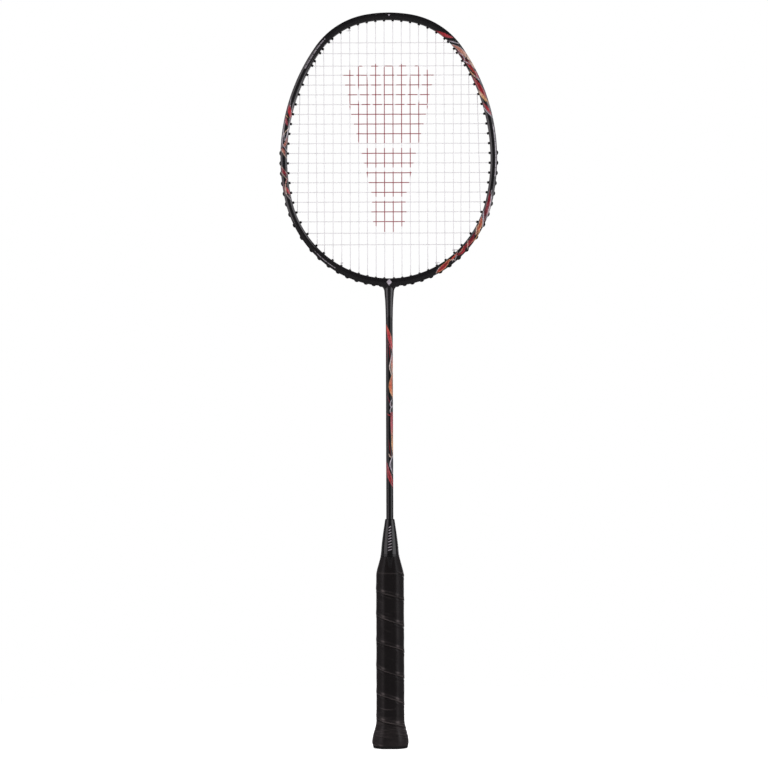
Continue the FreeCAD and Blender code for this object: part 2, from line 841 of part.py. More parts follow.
def build():
    main, main_length = main_string()
    cross, cross_length = cross_string()
    print(f"main string {main_length:.0f} mm, cross string {cross_length:.0f} mm")
    for name, shape, length in (("main", main, main_length), ("cross", cross, cross_length)):
        section = math.pi * string_radius ** 2
        print(f"{name} string volume is {shape.Volume / (section * length):.4f} of section times length")
    nodes = {
        "head_frame": head_frame(),
        "t_joint": t_joint(),
        "shaft": shaft(),
        "shaft_end_plug": shaft_end_plug(),
        "shaft_cone": shaft_cone(),
        "handle_core": handle_core(),
        "balance_plug": balance_plug(),
        "butt_cap": butt_cap(),
        "grip_staples": Part.makeCompound(grip_staples()),
        "grip_wrap": grip_wrap(),
        "finishing_tape": finishing_tape(),
        "main_string": main,
        "cross_string": cross,
        "main_string_knots": Part.makeCompound([knot(left_main_tie, False), knot(right_main_tie, False)]),
        "cross_string_knots": Part.makeCompound([knot(top_cross_tie, True), knot(bottom_cross_tie, False)]),
        "grommet_strip_crown": grommet_strip(0, crown_strip_end, False)}
    for part, (start, end, humped) in STRIPS.items():
        right = grommet_strip(start, end, humped)
        nodes[f"grommet_strip_{part}_right"] = right
        nodes[f"grommet_strip_{part}_left"] = right.mirror(ORIGIN, ACROSS)
    return nodes


print(f"{len(all_holes())} string holes")
for name, shape in build().items():
    solids = shape.Solids
    print(f"{name}: {len(solids)} solid(s), {shape.Volume / 1000:.2f} cm3, valid {shape.isValid()}")
    (solids[0] if len(solids) == 1 else Part.makeCompound(solids)).exportStep(f"parts/{name}.step")
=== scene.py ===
import bpy
import math
import numpy as np
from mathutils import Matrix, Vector


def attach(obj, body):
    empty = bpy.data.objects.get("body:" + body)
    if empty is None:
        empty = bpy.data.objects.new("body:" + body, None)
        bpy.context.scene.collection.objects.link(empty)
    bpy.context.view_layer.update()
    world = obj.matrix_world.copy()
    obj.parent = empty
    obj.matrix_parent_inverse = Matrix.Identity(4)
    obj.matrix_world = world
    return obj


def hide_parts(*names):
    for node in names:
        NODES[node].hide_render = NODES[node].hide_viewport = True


# Badminton racket. Lengths in this script are in millimetres in the CAD's own frame, and meshes are
# scaled to metres as they are made. Z is up the shaft, X across the face and Y square to it.

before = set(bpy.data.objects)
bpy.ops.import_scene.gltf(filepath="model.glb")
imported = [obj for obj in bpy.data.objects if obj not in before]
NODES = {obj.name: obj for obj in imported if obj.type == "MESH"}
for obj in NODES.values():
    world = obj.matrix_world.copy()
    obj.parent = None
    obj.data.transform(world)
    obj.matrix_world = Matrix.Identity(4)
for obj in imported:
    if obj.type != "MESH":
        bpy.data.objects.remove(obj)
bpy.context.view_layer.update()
MM = 0.001

# ---- The head's outline, as in the CAD -----------------------------------------------------------

OVERALL_LENGTH = 675.0
ARC_RADII = [119.7, 71.7, 178.7, 103.0]
ARC_TURNS = [10.3, 44.8, 47.2, 40.7]
HOOP_WIDTH = 6.5
GROOVE_HALF = 2.1
GROOVE_DEPTH = 1.9
THROAT_TURN = 180.0
MOUTH = -7.8


def outline_arcs():
    """Arc ends in degrees from the crown, radii and centres, on the right half."""
    radii = list(ARC_RADII)
    ends = [0.0] + list(np.cumsum(ARC_TURNS))
    sines = np.sin(np.radians(ends))
    reach = sum(r * (b - a) for r, a, b in zip(radii, sines, sines[1:]))
    radii.append(reach / sines[-1])
    ends.append(THROAT_TURN)
    centres = [(0.0, OVERALL_LENGTH - radii[0])]
    for index in range(1, len(radii)):
        step = radii[index - 1] - radii[index]
        angle = math.radians(ends[index])
        x, z = centres[-1]
        centres.append((x + step * math.sin(angle), z + step * math.cos(angle)))
    return np.array(ends), np.array(radii), np.array(centres)


ARC_ENDS, RADII, CENTRES = outline_arcs()
ARC_LENGTHS = np.concatenate([[0.0], np.cumsum(np.radians(np.diff(ARC_ENDS)) * RADII)])
THROAT_HEIGHT = CENTRES[-1][1] - RADII[-1]


def turn_at(length):
    """Turn from the crown, in degrees, at a signed arc length along the outline."""
    return np.sign(length) * np.interp(np.abs(length), ARC_LENGTHS, ARC_ENDS)


def length_at(turn):
    return np.sign(turn) * np.interp(np.abs(turn), ARC_ENDS, ARC_LENGTHS)


def hoop_points(turns, outs, sides):
    """Points at signed turns, out from the outline and side towards the back."""
    turns, outs, sides = np.broadcast_arrays(*(np.asarray(v, float) for v in (turns, outs, sides)))
    index = np.clip(np.searchsorted(ARC_ENDS[1:], np.abs(turns) - 1e-9), 0, len(RADII) - 1)
    reach = RADII[index] + outs
    angle = np.radians(turns)
    x = np.sign(turns) * CENTRES[index, 0] + reach * np.sin(angle)
    z = CENTRES[index, 1] + reach * np.cos(angle)
    return np.stack([x, sides, z], axis=-1)


def smooth(value, low, high):
    """Smooth step from 0 at low to 1 at high."""
    share = np.clip((value - low) / (high - low), 0.0, 1.0)
    return share * share * (3 - 2 * share)


def hoop_width_at(turns):
    """The hoop is a little slimmer at its sides and fuller at the throat."""
    size = np.abs(turns)
    slim = smooth(size, 15, 60) * (1 - smooth(size, 110, 160))
    full = smooth(size, 130, 165)
    return HOOP_WIDTH - 0.3 * slim + 0.6 * full


# ---- Mesh helpers --------------------------------------------------------------------------------

def grid_faces(rows, columns, start=0, wrap=True):
    """Quads between rows of points, each row closed on itself when wrap is set."""
    last = columns if wrap else columns - 1
    row = np.arange(rows - 1)[:, None] * columns
    here = np.arange(last)[None, :]
    beyond = (here + 1) % columns
    quads = np.stack([row + here, row + beyond, row + columns + beyond, row + columns + here], axis=-1)
    return (quads.reshape(-1, 4) + start).tolist()


def closing_faces(first, last, columns):
    """Quads from the row of points that starts at last back to the one that starts at first."""
    return [[last + k, last + (k + 1) % columns, first + (k + 1) % columns, first + k]
            for k in range(columns)]


def round_points(radius, angle, heights):
    """Points at a radius from the handle's axis, an angle from the front, and a height."""
    radius, angle, heights = np.broadcast_arrays(radius, angle, heights)
    return np.stack([radius * np.sin(angle), -radius * np.cos(angle), heights], axis=-1)


def make_piece(name, points, faces, material=None, paint=None, scalars=None):
    """A smooth-shaded mesh that rides on the body, from points in millimetres."""
    mesh = bpy.data.meshes.new(name)
    mesh.from_pydata((np.asarray(points, float).reshape(-1, 3) * MM).tolist(), [], faces)
    mesh.polygons.foreach_set("use_smooth", np.ones(len(mesh.polygons), bool))
    if paint is not None:
        layer = mesh.color_attributes.new("paint", "FLOAT_COLOR", "POINT")
        layer.data.foreach_set("color", np.asarray(paint, np.float32).ravel())
    for key, values in (scalars or {}).items():
        layer = mesh.attributes.new(key, "FLOAT", "POINT")
        layer.data.foreach_set("value", np.asarray(values, np.float32).ravel())
    mesh.update()
    piece = bpy.data.objects.new(name, mesh)
    bpy.context.scene.collection.objects.link(piece)
    if material is not None:
        mesh.materials.append(material)
    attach(piece, "root")
    return piece


def sharpen(piece, angle):
    """Edges bent by more than the angle are shaded sharp."""
    piece.data.set_sharp_from_angle(angle=math.radians(angle))


def chaikin(points, rounds):
    """Corner cutting on an open run of points, with both ends kept."""
    points = np.asarray(points, float)
    for _ in range(rounds):
        near = 0.75 * points[:-1] + 0.25 * points[1:]
        far = 0.25 * points[:-1] + 0.75 * points[1:]
        middle = np.stack([near, far], axis=1).reshape(-1, points.shape[1])
        points = np.concatenate([points[:1], middle[1:-1], points[-1:]])
    return points


def resample(points, count):
    """The run of points spaced evenly along its length."""
    steps = np.linalg.norm(np.diff(points, axis=0), axis=1)
    along = np.concatenate([[0.0], np.cumsum(steps)])
    wanted = np.linspace(0, along[-1], count)
    return np.stack([np.interp(wanted, along, points[:, k]) for k in range(points.shape[1])], axis=-1)


SURFACE_STEPS = 8


def surface_net(field, low, high, cell):
    """Points and quads of a field's zero surface: one point in each cell that it passes through,
    moved on to the surface down the field's slope."""
    axes = [np.arange(a, b + cell, cell) for a, b in zip(low, high)]
    grid = np.meshgrid(*axes, indexing="ij")
    inside = field(*grid) < 0
    nx, ny, nz = (len(axis) - 1 for axis in axes)
    filled = sum(inside[i:i + nx, j:j + ny, k:k + nz].astype(int)
                 for i in (0, 1) for j in (0, 1) for k in (0, 1))
    mixed = (filled > 0) & (filled < 8)
    index = -np.ones(mixed.shape, int)
    index[mixed] = np.arange(mixed.sum())
    points = np.argwhere(mixed) * cell + np.array([axis[0] for axis in axes]) + cell / 2
    faces = []
    for axis in range(3):
        others = [k for k in range(3) if k != axis]
        near = [slice(1, -1)] * 3
        near[axis] = slice(0, -1)
        far = list(near)
        far[axis] = slice(1, None)
        here = inside[tuple(near)]
        there = inside[tuple(far)]
        crossing = np.argwhere(here != there)
        outward = here[tuple(crossing.T)]
        crossing[:, others] += 1
        quad = []
        for a, b in ((0, 0), (1, 0), (1, 1), (0, 1)):
            cellpos = crossing.copy()
            cellpos[:, others[0]] -= a
            cellpos[:, others[1]] -= b
            quad.append(index[tuple(cellpos.T)])
        quad = np.stack(quad, axis=-1)
        flip = outward if axis != 1 else ~outward
        quad[~flip] = quad[~flip][:, ::-1]
        faces.append(quad)
    faces = np.concatenate(faces)
    probe = 0.01
    for _ in range(SURFACE_STEPS):
        value = field(*points.T)
        slope = np.stack([(field(*(points + probe * way).T) - value) / probe for way in np.eye(3)], axis=-1)
        move = (value / np.maximum((slope ** 2).sum(axis=1), 0.05))[:, None] * slope
        size = np.linalg.norm(move, axis=1, keepdims=True)
        points -= move * np.minimum(1, 0.5 * cell / np.maximum(size, 1e-9))
    return points, faces.tolist()


# ---- Painting ------------------------------------------------------------------------------------
# Decals are painted as strokes on a strip: one coordinate runs along the tube, the other across it.

def srgb(red, green, blue):
    value = np.array([red, green, blue]) / 255.0
    return np.where(value <= 0.04045, value / 12.92, ((value + 0.055) / 1.055) ** 2.4)


RED = srgb(190, 44, 54)
DEEP_RED = srgb(112, 12, 22)
MAROON = srgb(112, 32, 50)
ROSE = srgb(180, 80, 90)
ORANGE = srgb(204, 94, 60)
WINE = srgb(146, 32, 46)
COPPER = srgb(196, 124, 104)
GOLD = srgb(216, 162, 114)
CREAM = srgb(220, 192, 174)
SILVER = srgb(196, 188, 198)
STEEL = srgb(84, 86, 98)
BLACK = srgb(18, 15, 18)


class Strip:
    """Colour and cover at points given by their place along and across a strip."""

    def __init__(self, along, across, period=None):
        self.along = np.asarray(along, float).ravel()
        self.across = np.asarray(across, float).ravel()
        self.colour = np.zeros((len(self.along), 3))
        self.cover = np.zeros(len(self.along))
        self.shifts = (0.0,) if period is None else (-period, 0.0, period)

    def stroke(self, colours, knots, widths, strength=1.0, soft=0.16):
        """A stroke through the knots, with widths and colours spread evenly along it."""
        knots = np.asarray(knots, float)
        path = resample(chaikin(knots, 3), 4 * len(knots) + 12)
        share = np.linspace(0, 1, len(path))
        width = np.interp(share, np.linspace(0, 1, len(widths)), widths)
        colours = np.atleast_2d(np.array(colours))
        tint = np.stack([np.interp(share, np.linspace(0, 1, len(colours)), colours[:, k])
                         for k in range(3)], axis=-1)
        margin = max(widths) / 2 + soft
        low = path.min(axis=0) - margin
        high = path.max(axis=0) + margin
        for shift in self.shifts:
            across = self.across + shift
            near = np.flatnonzero((self.along > low[0]) & (self.along < high[0])
                                  & (across > low[1]) & (across < high[1]))
            if not len(near):
                continue
            spot = np.stack([self.along[near], across[near]], axis=-1)
            best = np.full(len(near), 1e9)
            place = np.zeros(len(near))
            for index in range(len(path) - 1):
                start = path[index]
                run = path[index + 1] - start
                hit = np.clip(((spot - start) @ run) / max(run @ run, 1e-9), 0, 1)
                gap = np.linalg.norm(spot - start - hit[:, None] * run, axis=1)
                gap -= np.interp((index + hit) / (len(path) - 1), share, width) / 2
                closer = gap < best
                best[closer] = gap[closer]
                place[closer] = (index + hit[closer]) / (len(path) - 1)
            amount = strength * (1 - smooth(best, -soft, soft))
            shade = np.stack([np.interp(place, share, tint[:, k]) for k in range(3)], axis=-1)
            amount = amount[:, None]
            self.colour[near] = self.colour[near] * (1 - amount) + shade * amount
            self.cover[near] = np.maximum(self.cover[near] * (1 - amount[:, 0]), 0) + amount[:, 0]

    def tongue(self, edge, body, core, knots, width):
        """One flame: a pale edge, a body that swells in the middle, and a deeper core."""
        swell = [0.15, 0.75, 1.0, 0.8, 0.1]
        if edge is not None:
            self.stroke([edge], knots, [width * w + 0.7 for w in swell])
        self.stroke(body, knots, [width * w for w in swell])
        if core is not None:
            self.stroke([core], knots, [width * w * 0.42 for w in swell], strength=0.8, soft=0.4)

    def dashes(self, start, end, across, count, colour, width=0.75):
        """A row of short dashes, as a plain pinstripe."""
        step = (end - start) / count
        for index in range(count):
            here = start + index * step
            size = 0.35 + 0.3 * (index % 3 != 0)
            ends = [(here, across), (here + step * size, across)]
            self.stroke([colour], ends, [width, width], strength=0.85)

    def result(self):
        """Colour and cover as red, green, blue and alpha."""
        tint = self.colour / np.maximum(self.cover, 1e-6)[:, None]
        return np.concatenate([np.clip(tint, 0, 1), np.clip(self.cover, 0, 1)[:, None]], axis=1)


def paint_upper_right(strip):
    flame, line = strip.tongue, strip.stroke
    flame(None, [DEEP_RED, RED, ROSE], None, [(48, 6.6), (56, 5.4), (62, 3.7), (67, 0.8)], 3.2)
    line([SILVER], [(65, 6.2), (69, 4.0), (74, 0.8)], [0.5, 1.2, 0.6], strength=0.8)
    line([BLACK], [(64, 6.8), (67.5, 3.4), (71, 0.2)], [0.8, 1.4, 0.8])
    flame(SILVER, [COPPER, COPPER, CREAM, GOLD], None, [(70, 6.6), (77, 3.6), (88, 1.4), (101, 0.4)], 3.6)
    flame(None, [MAROON, MAROON, RED, ORANGE], DEEP_RED, [(77, 6.4), (86, 4.4), (97, 3.2), (107, 2.4)], 3.3)
    line([BLACK], [(84, 6.2), (90, 2.6), (95, 0.4)], [0.5, 1.3, 0.6])
    line([BLACK], [(86, 0.8), (91, 3.2), (97, 6.0)], [0.4, 1.0, 0.5])
    line([SILVER], [(80, 6.2), (85, 3.6), (90, 4.6), (91, 6.2)], [0.5, 0.7, 0.5])
    line([SILVER], [(89, 6.4), (93, 4.0), (97, 1.4)], [0.5, 0.8, 0.4])
    line([BLACK], [(94, 2.4), (101, 2.2)], [0.3, 0.6, 0.2])
    line([GOLD], [(101, 5.6), (105, 4.6), (110, 3.2)], [0.5, 1.1, 0.4])
    line([ROSE], [(104, 1.2), (112, 1.6)], [1.2, 1.6, 0.6])
    line([SILVER], [(106, 4.0), (110, 2.2), (116, 0.4)], [0.4, 0.8, 0.4])
    line([STEEL], [(112, 0.8), (117, 0.9)], [0.8, 1.6, 0.8])
    flame(None, [ROSE, RED, RED, ROSE], DEEP_RED, [(107, 5.9), (116, 4.0), (123, 2.6), (131, 0.9)], 3.7)
    flame(None, [CREAM, GOLD, GOLD], None, [(120, 6.4), (127, 4.2), (132, 2.2), (137, 0.2)], 2.6)
    line([STEEL], [(133, 1.9), (137, 1.4), (142, 0.8)], [0.6, 2.0, 1.0], strength=0.8)
    flame(None, [MAROON, RED, ROSE], None, [(133, 5.8), (139, 3.4), (147, 0.8)], 2.4)
    line([SILVER], [(138, 6.2), (144, 3.6), (150, -0.4)], [0.5, 0.9, 0.5])
    strip.dashes(156, 204, 1.3, 30, SILVER)


def paint_lower_right(strip):
    flame, line = strip.tongue, strip.stroke
    for start, tint in ((217, MAROON), (222, WINE), (228, ROSE), (234, MAROON)):
        flame(None, [tint], DEEP_RED, [(start, 4.6), (start + 6, 3.4), (start + 13, 0.9)], 1.9)
    line([SILVER], [(216, 3.0), (224, 1.6), (240, 0.4)], [0.4, 0.9, 0.5])
    line([ROSE, SILVER], [(226, 2.2), (234, 1.5), (244, 0.2)], [0.3, 0.7, 0.4])
    line([SILVER], [(238, 5.6), (245, 3.0), (252, 0.3)], [0.6, 1.3, 0.7])
    line([SILVER], [(243, 5.8), (248, 3.6), (255, 0.8)], [0.4, 0.8, 0.3])
    flame(None, [ORANGE, GOLD, GOLD], RED, [(244, 5.2), (251, 2.9), (257, 3.1), (261, 1.9)], 3.8)
    for start in (247, 250.5, 254):
        line([DEEP_RED], [(start, 4.8), (start + 2, 3.6), (start + 4, 2.0)], [0.3, 0.7, 0.3])
    line([CREAM], [(254, 5.8), (258, 3.8), (262, 2.2)], [0.5, 1.0, 0.4])
    line([GOLD], [(256, 1.0), (262, 0.5), (268, 0.1)], [0.6, 0.9, 0.4])
    flame(None, [MAROON, WINE, RED, MAROON], DEEP_RED, [(260, 4.4), (267, 2.4), (275, 2.9), (280, 4.0)], 3.4)
    line([GOLD, ROSE], [(263, 0.6), (269, 1.2), (273, 2.6)], [0.3, 0.6, 0.2], strength=0.8)
    line([CREAM], [(270, 5.6), (273, 3.2), (277, 0.3)], [0.4, 0.7, 0.4])
    flame(None, [WINE, RED, WINE], DEEP_RED, [(275, 4.4), (281, 2.2), (288, 3.0)], 3.4)
    line([ORANGE, CREAM], [(277, 4.8), (281, 3.6), (286, 3.9)], [0.3, 0.7, 0.3])
    line([SILVER], [(285, 5.8), (289, 3.2), (293, 0.6)], [0.4, 0.8, 0.4])
    line([SILVER], [(288, 5.8), (291, 4.0), (295, 1.6)], [0.3, 0.6, 0.3])
    flame(None, [ORANGE, RED], None, [(286, 4.8), (291, 4.2), (297, 3.6)], 1.8)
    line([CREAM], [(292, 1.6), (295, 3.8), (299, 5.4)], [0.4, 0.9, 0.4])
    flame(GOLD, [ORANGE, RED, RED, ORANGE], DEEP_RED, [(296, 4.8), (302, 3.2), (308, 2.3), (313, 1.4)], 3.4)
    line([SILVER], [(307, 4.8), (311, 3.2), (314, 0.8)], [0.3, 0.5, 0.3])


def paint_left(strip):
    flame, line = strip.tongue, strip.stroke
    strip.dashes(66, 100, 2.4, 18, SILVER)
    line([SILVER], [(130, 0.9), (139, 3.2), (150, 6.4)], [0.3, 0.55, 0.4])
    line([SILVER], [(133, 4.4), (142, 5.2), (150, 5.0)], [0.3, 0.5, 0.3], strength=0.7)
    flame(None, [MAROON, RED, RED, ROSE], None, [(136, 1.2), (140, 2.5), (144, 3.9), (148, 5.8)], 3.4)
    line([GOLD], [(146.5, 0.8), (148.5, 3.4)], [0.5, 0.9, 0.3])
    flame(None, [MAROON, ROSE, MAROON], None, [(148, 0.9), (152, 2.2), (156, 4.2)], 2.4)
    line([SILVER], [(150, 6.0), (158, 5.4), (166, 5.0), (172, 3.6)], [0.5, 0.8, 0.5])
    line([SILVER], [(152, 0.9), (160, 1.1), (168, 1.5), (176, 1.0)], [0.4, 0.8, 0.4])
    line([CREAM], [(158, 5.8), (161.5, 3.2), (165, 1.2)], [0.4, 0.7, 0.4])
    line([SILVER], [(163, 2.4), (168, 3.2), (173, 4.8), (176, 3.4)], [0.4, 0.8, 0.4])
    flame(None, [MAROON, COPPER, MAROON], None, [(166, 5.4), (171, 4.6), (177, 3.8)], 1.7)
    flame(None, [MAROON, COPPER, MAROON], None, [(170, 6.0), (173, 4.0), (176, 2.2)], 2.4)
    flame(None, [MAROON, COPPER, MAROON], None, [(176.5, 1.2), (180, 2.8), (183.5, 4.6)], 2.8)
    for start in (171, 178, 193, 199):
        tint = CREAM if start > 175 else SILVER
        line([tint], [(start, 0.2), (start + 4.5, 3.0), (start + 8.5, 6.2)], [0.4, 0.6, 0.4])
    flame(None, [MAROON, WINE, MAROON], None, [(195, 0.6), (199, 2.6), (203.5, 5.4)], 2.9)
    flame(None, [ROSE, RED, ROSE], None, [(213, 3.2), (217, 4.2), (221.5, 5.6)], 2.2)
    line([ROSE, CREAM, SILVER], [(205, 5.4), (210, 3.2), (217, 1.9), (222, 3.0), (226, 5.6)],
         [0.5, 1.1, 0.9, 0.5])
    line([MAROON], [(208, 1.2), (214, 0.9), (220, 1.4)], [0.4, 0.9, 0.4])
    strip.dashes(281, 306, 2.2, 11, SILVER)


def paint_shaft(strip):
    """Along is the height and across the way round the shaft, from the middle of its front."""
    flame, line = strip.tongue, strip.stroke
    line([MAROON], [(378, -2.8), (366, -2.0), (352, -2.6)], [0.4, 1.3, 0.4], strength=0.7)
    flame(None, [ORANGE, RED, ROSE, COPPER], RED, [(389, -3.4), (381, -1.2), (373, 1.2), (362, 4.6)], 3.6)
    line([ORANGE, COPPER], [(386, -1.6), (378, 1.6), (368, 3.8)], [0.3, 1.0, 0.4], strength=0.8)
    line([WINE], [(371, -0.4), (362, 0.4), (354, 1.0)], [0.3, 0.7, 0.2])
    line([ROSE], [(372, -1.2), (368, 0.4), (364, 2.4)], [0.2, 0.5, 0.2])
    flame(None, [ROSE, COPPER, CREAM], None, [(361, 4.4), (352, 3.2), (342, 3.6)], 3.8)
    line([SILVER, CREAM], [(367, 3.8), (358, 2.0), (350, -0.2), (345, 1.2), (338, 3.6)], [0.6, 1.1, 1.0, 0.6])
    flame(GOLD, [COPPER, ORANGE, GOLD], None, [(343, 3.4), (334, 0.9), (327, 1.8), (321, 4.2)], 3.1)
    line([MAROON], [(324, -2.4), (319, -0.6), (314, 1.8)], [0.3, 0.8, 0.4])
    for start in (321, 315):
        loop = [(start, 3.8), (start - 3, 1.0), (start - 7, 0.2), (start - 9, 2.8), (start - 6, 4.2)]
        line([SILVER], loop, [0.35, 0.6, 0.35])
    line([RED], [(307, -2.6), (305, -0.4), (306, 3.0)], [0.3, 0.9, 0.5])
    line([WINE, ROSE, ROSE, COPPER], [(307, 2.4), (298, 2.9), (290, 3.2), (280, 3.6)], [3.0, 4.2, 4.0, 2.4])
    line([DEEP_RED], [(301, 3.6), (292, 3.8), (285, 3.4)], [0.3, 0.9, 0.3], strength=0.7)
    flame(None, [COPPER, GOLD, CREAM], None, [(293, 2.4), (284, 2.9), (276, 3.6), (265, 4.8)], 3.4)
    line([DEEP_RED], [(283, -0.9), (276, -0.2), (268, 1.4)], [0.3, 0.9, 0.3])
    line([CREAM], [(270, -0.8), (267, 0.2), (267, 2.4)], [0.4, 0.9, 0.5])
    line([SILVER], [(268, 3.2), (263, 0.6), (258, 0.0), (250, 4.4)], [0.6, 1.0, 0.9, 0.5])
    line([STEEL], [(266, 3.4), (260, 1.8), (254, 2.6), (251, 4.6)], [0.4, 0.8, 0.8, 0.4])
    flame(None, [MAROON, ROSE, RED, ROSE], DEEP_RED, [(266, -4.4), (255, -2.4), (247, 0.6), (237, 4.6)], 4.0)


# ---- Materials -----------------------------------------------------------------------------------

class Shader:
    """A node material, built up from its Principled shader."""

    def __init__(self, name, **settings):
        self.material = bpy.data.materials.new(name)
        self.material.use_nodes = True
        self.tree = self.material.node_tree
        self.surface = self.tree.nodes["Principled BSDF"]
        for key, value in settings.items():
            self.surface.inputs[key.replace("_", " ")].default_value = value
        self.place = self.node("ShaderNodeTexCoord").outputs["Object"]

    def node(self, kind, settings=None, **inputs):
        made = self.tree.nodes.new(kind)
        for key, value in (settings or {}).items():
            setattr(made, key, value)
        for key, value in inputs.items():
            self.plug(made.inputs[key.replace("_", " ")], value)
        return made

    def plug(self, socket, value):
        if isinstance(value, bpy.types.NodeSocket):
            self.tree.links.new(value, socket)
        else:
            socket.default_value = value

    def math(self, operation, *values):
        made = self.node("ShaderNodeMath", {"operation": operation})
        for socket, value in zip(made.inputs, values):
            self.plug(socket, value)
        return made.outputs[0]

    def attribute(self, name, output="Fac"):
        return self.node("ShaderNodeAttribute", {"attribute_name": name}).outputs[output]

    def noise(self, scale, detail=3.0, roughness=0.55, place=None):
        made = self.node("ShaderNodeTexNoise", Scale=scale, Detail=detail, Roughness=roughness)
        self.plug(made.inputs["Vector"], place or self.place)
        return made.outputs["Fac"]

    def cells(self, scale, feature="F1", output="Distance", place=None):
        made = self.node("ShaderNodeTexVoronoi", {"feature": feature}, Scale=scale)
        self.plug(made.inputs["Vector"], place or self.place)
        return made.outputs[output]

    def stretched(self, scale):
        """Object coordinates, stretched by a scale for each axis."""
        made = self.node("ShaderNodeMapping")
        self.plug(made.inputs["Vector"], self.place)
        made.inputs["Scale"].default_value = scale
        return made.outputs[0]

    def spread(self, value, low, high, to_low, to_high):
        made = self.node("ShaderNodeMapRange")
        for socket, item in zip(made.inputs, (value, low, high, to_low, to_high)):
            self.plug(socket, item)
        return made.outputs[0]

    def blend(self, share, first, second, kind="MIX"):
        made = self.node("ShaderNodeMix", {"data_type": "RGBA", "blend_type": kind})
        self.plug(made.inputs[0], share)
        for socket, value in ((made.inputs[6], first), (made.inputs[7], second)):
            if not isinstance(value, bpy.types.NodeSocket):
                value = (*value[:3], 1.0)
            self.plug(socket, value)
        return made.outputs[2]

    def colour(self, value):
        self.plug(self.surface.inputs["Base Color"], value)

    def rough(self, value):
        self.plug(self.surface.inputs["Roughness"], value)

    def bump(self, height, distance, strength=1.0, under=None):
        made = self.node("ShaderNodeBump", Strength=strength, Distance=distance, Height=height)
        if under is not None:
            self.plug(made.inputs["Normal"], under)
        self.plug(self.surface.inputs["Normal"], made.outputs[0])
        return made.outputs[0]


def lacquer(name, coat_roughness, tone, coat_index):
    """Black lacquer with fine mauve flake, and decals with a brushed fleck under a clear coat."""
    shader = Shader(name, Coat_Weight=1.0, Coat_Roughness=coat_roughness, Coat_IOR=coat_index,
                    Specular_IOR_Level=0.2)
    flake = shader.cells(5200.0, output="Color")
    sparkle = shader.spread(shader.math("MULTIPLY", flake, flake), 0.2, 1.0, 0.0, 1.0)
    dark = [tone * part for part in (0.0034, 0.0028, 0.0036)]
    bright = [tone * part for part in (0.012, 0.0095, 0.013)]
    ground = shader.blend(sparkle, dark, bright)
    paint = shader.node("ShaderNodeAttribute", {"attribute_name": "paint"})
    brushed = shader.spread(shader.noise(620.0, 5.0, 0.7), 0.4, 0.62, 0.0, 0.62)
    tint = shader.blend(brushed, paint.outputs["Color"], (0.02, 0.004, 0.006))
    shader.colour(shader.blend(paint.outputs["Alpha"], ground, tint))
    smudge = shader.noise(160.0, 4.0)
    shader.rough(shader.spread(smudge, 0.3, 0.7, 0.28, 0.42))
    shader.bump(shader.noise(300.0, 2.0), 0.00001, 0.15)
    return shader.material


def moulded(name, colour, low, high, grain, depth, **settings):
    """Moulded plastic: nearly even colour, a fine grain and uneven sheen."""
    shader = Shader(name, **settings)
    cloud = shader.noise(90.0, 4.0)
    shader.colour(shader.blend(cloud, [c * 0.75 for c in colour], [c * 1.3 for c in colour]))
    shader.rough(shader.spread(shader.noise(650.0, 2.0), 0.3, 0.7, low, high))
    shader.bump(shader.noise(grain, 3.0), depth, 0.5)
    return shader.material


def string_nylon(name):
    """White multifilament string: fine filaments wound round it, and worn red stencil paint."""
    shader = Shader(name, Coat_Weight=0.3, Coat_Roughness=0.2, Specular_IOR_Level=0.4)
    along = shader.attribute("along")
    around = shader.attribute("around")
    winding = shader.math("ADD", shader.math("MULTIPLY", along, 2.2), shader.math("MULTIPLY", around, 3.0))
    filament = shader.math("SINE", shader.math("MULTIPLY", winding, 2 * math.pi))
    ridge = shader.spread(filament, -1.0, 1.0, 0.0, 1.0)
    worn = shader.noise(900.0, 3.0)
    white = shader.blend(ridge, (0.73, 0.71, 0.735), (0.81, 0.79, 0.81))
    ink = shader.blend(ridge, (0.27, 0.012, 0.034), (0.37, 0.02, 0.045))
    paint = shader.node("ShaderNodeAttribute", {"attribute_name": "paint"})
    cover = shader.math("MULTIPLY", paint.outputs["Alpha"], shader.spread(worn, 0.3, 0.42, 0.55, 1.0))
    shader.colour(shader.blend(cover, white, ink))
    shader.rough(shader.spread(worn, 0.3, 0.7, 0.3, 0.5))
    shader.bump(ridge, 0.00003, 0.5)
    return shader.material


def leather(name):
    """Black synthetic leather: pebbled grain, paler edges that are rubbed wear and painted highlight, painted
    shade in creases.
    """
    shader = Shader(name, Specular_IOR_Level=0.34, Sheen_Weight=0.05, Sheen_Roughness=0.5,
                    Sheen_Tint=(1.0, 0.86, 0.88, 1.0))
    grain = shader.cells(1500.0, feature="SMOOTH_F1")
    fine = shader.noise(3200.0, 2.0)
    cloud = shader.noise(55.0, 4.0, place=shader.stretched((1.0, 1.0, 2.5)))
    base = shader.blend(cloud, (0.0038, 0.0021, 0.0024), (0.0076, 0.0041, 0.0046))
    pits = shader.spread(grain, 0.1, 0.7, 0.0, 0.45)
    base = shader.blend(pits, base, (0.0018, 0.0014, 0.0014))
    # Paler from the edge attribute: rubbed wear along the seams, and painted highlights at the corners and
    # wrinkle ridges.
    wear_and_highlight = shader.math("MULTIPLY", shader.attribute("edge"), shader.spread(cloud, 0.35, 0.6, 0.35, 1.0))
    base = shader.blend(wear_and_highlight, base, (0.084, 0.066, 0.065))
    # Near-black from the crease attribute: painted shade in the seam grooves and along the wrinkles.
    shader.colour(shader.blend(shader.attribute("crease"), base, (0.0008, 0.0005, 0.0005)))
    shader.rough(shader.spread(fine, 0.3, 0.7, 0.36, 0.48))
    height = shader.math("ADD", shader.math("MULTIPLY", grain, 0.8), shader.math("MULTIPLY", fine, 0.25))
    shader.bump(height, 0.00012, 0.5)
    return shader.material


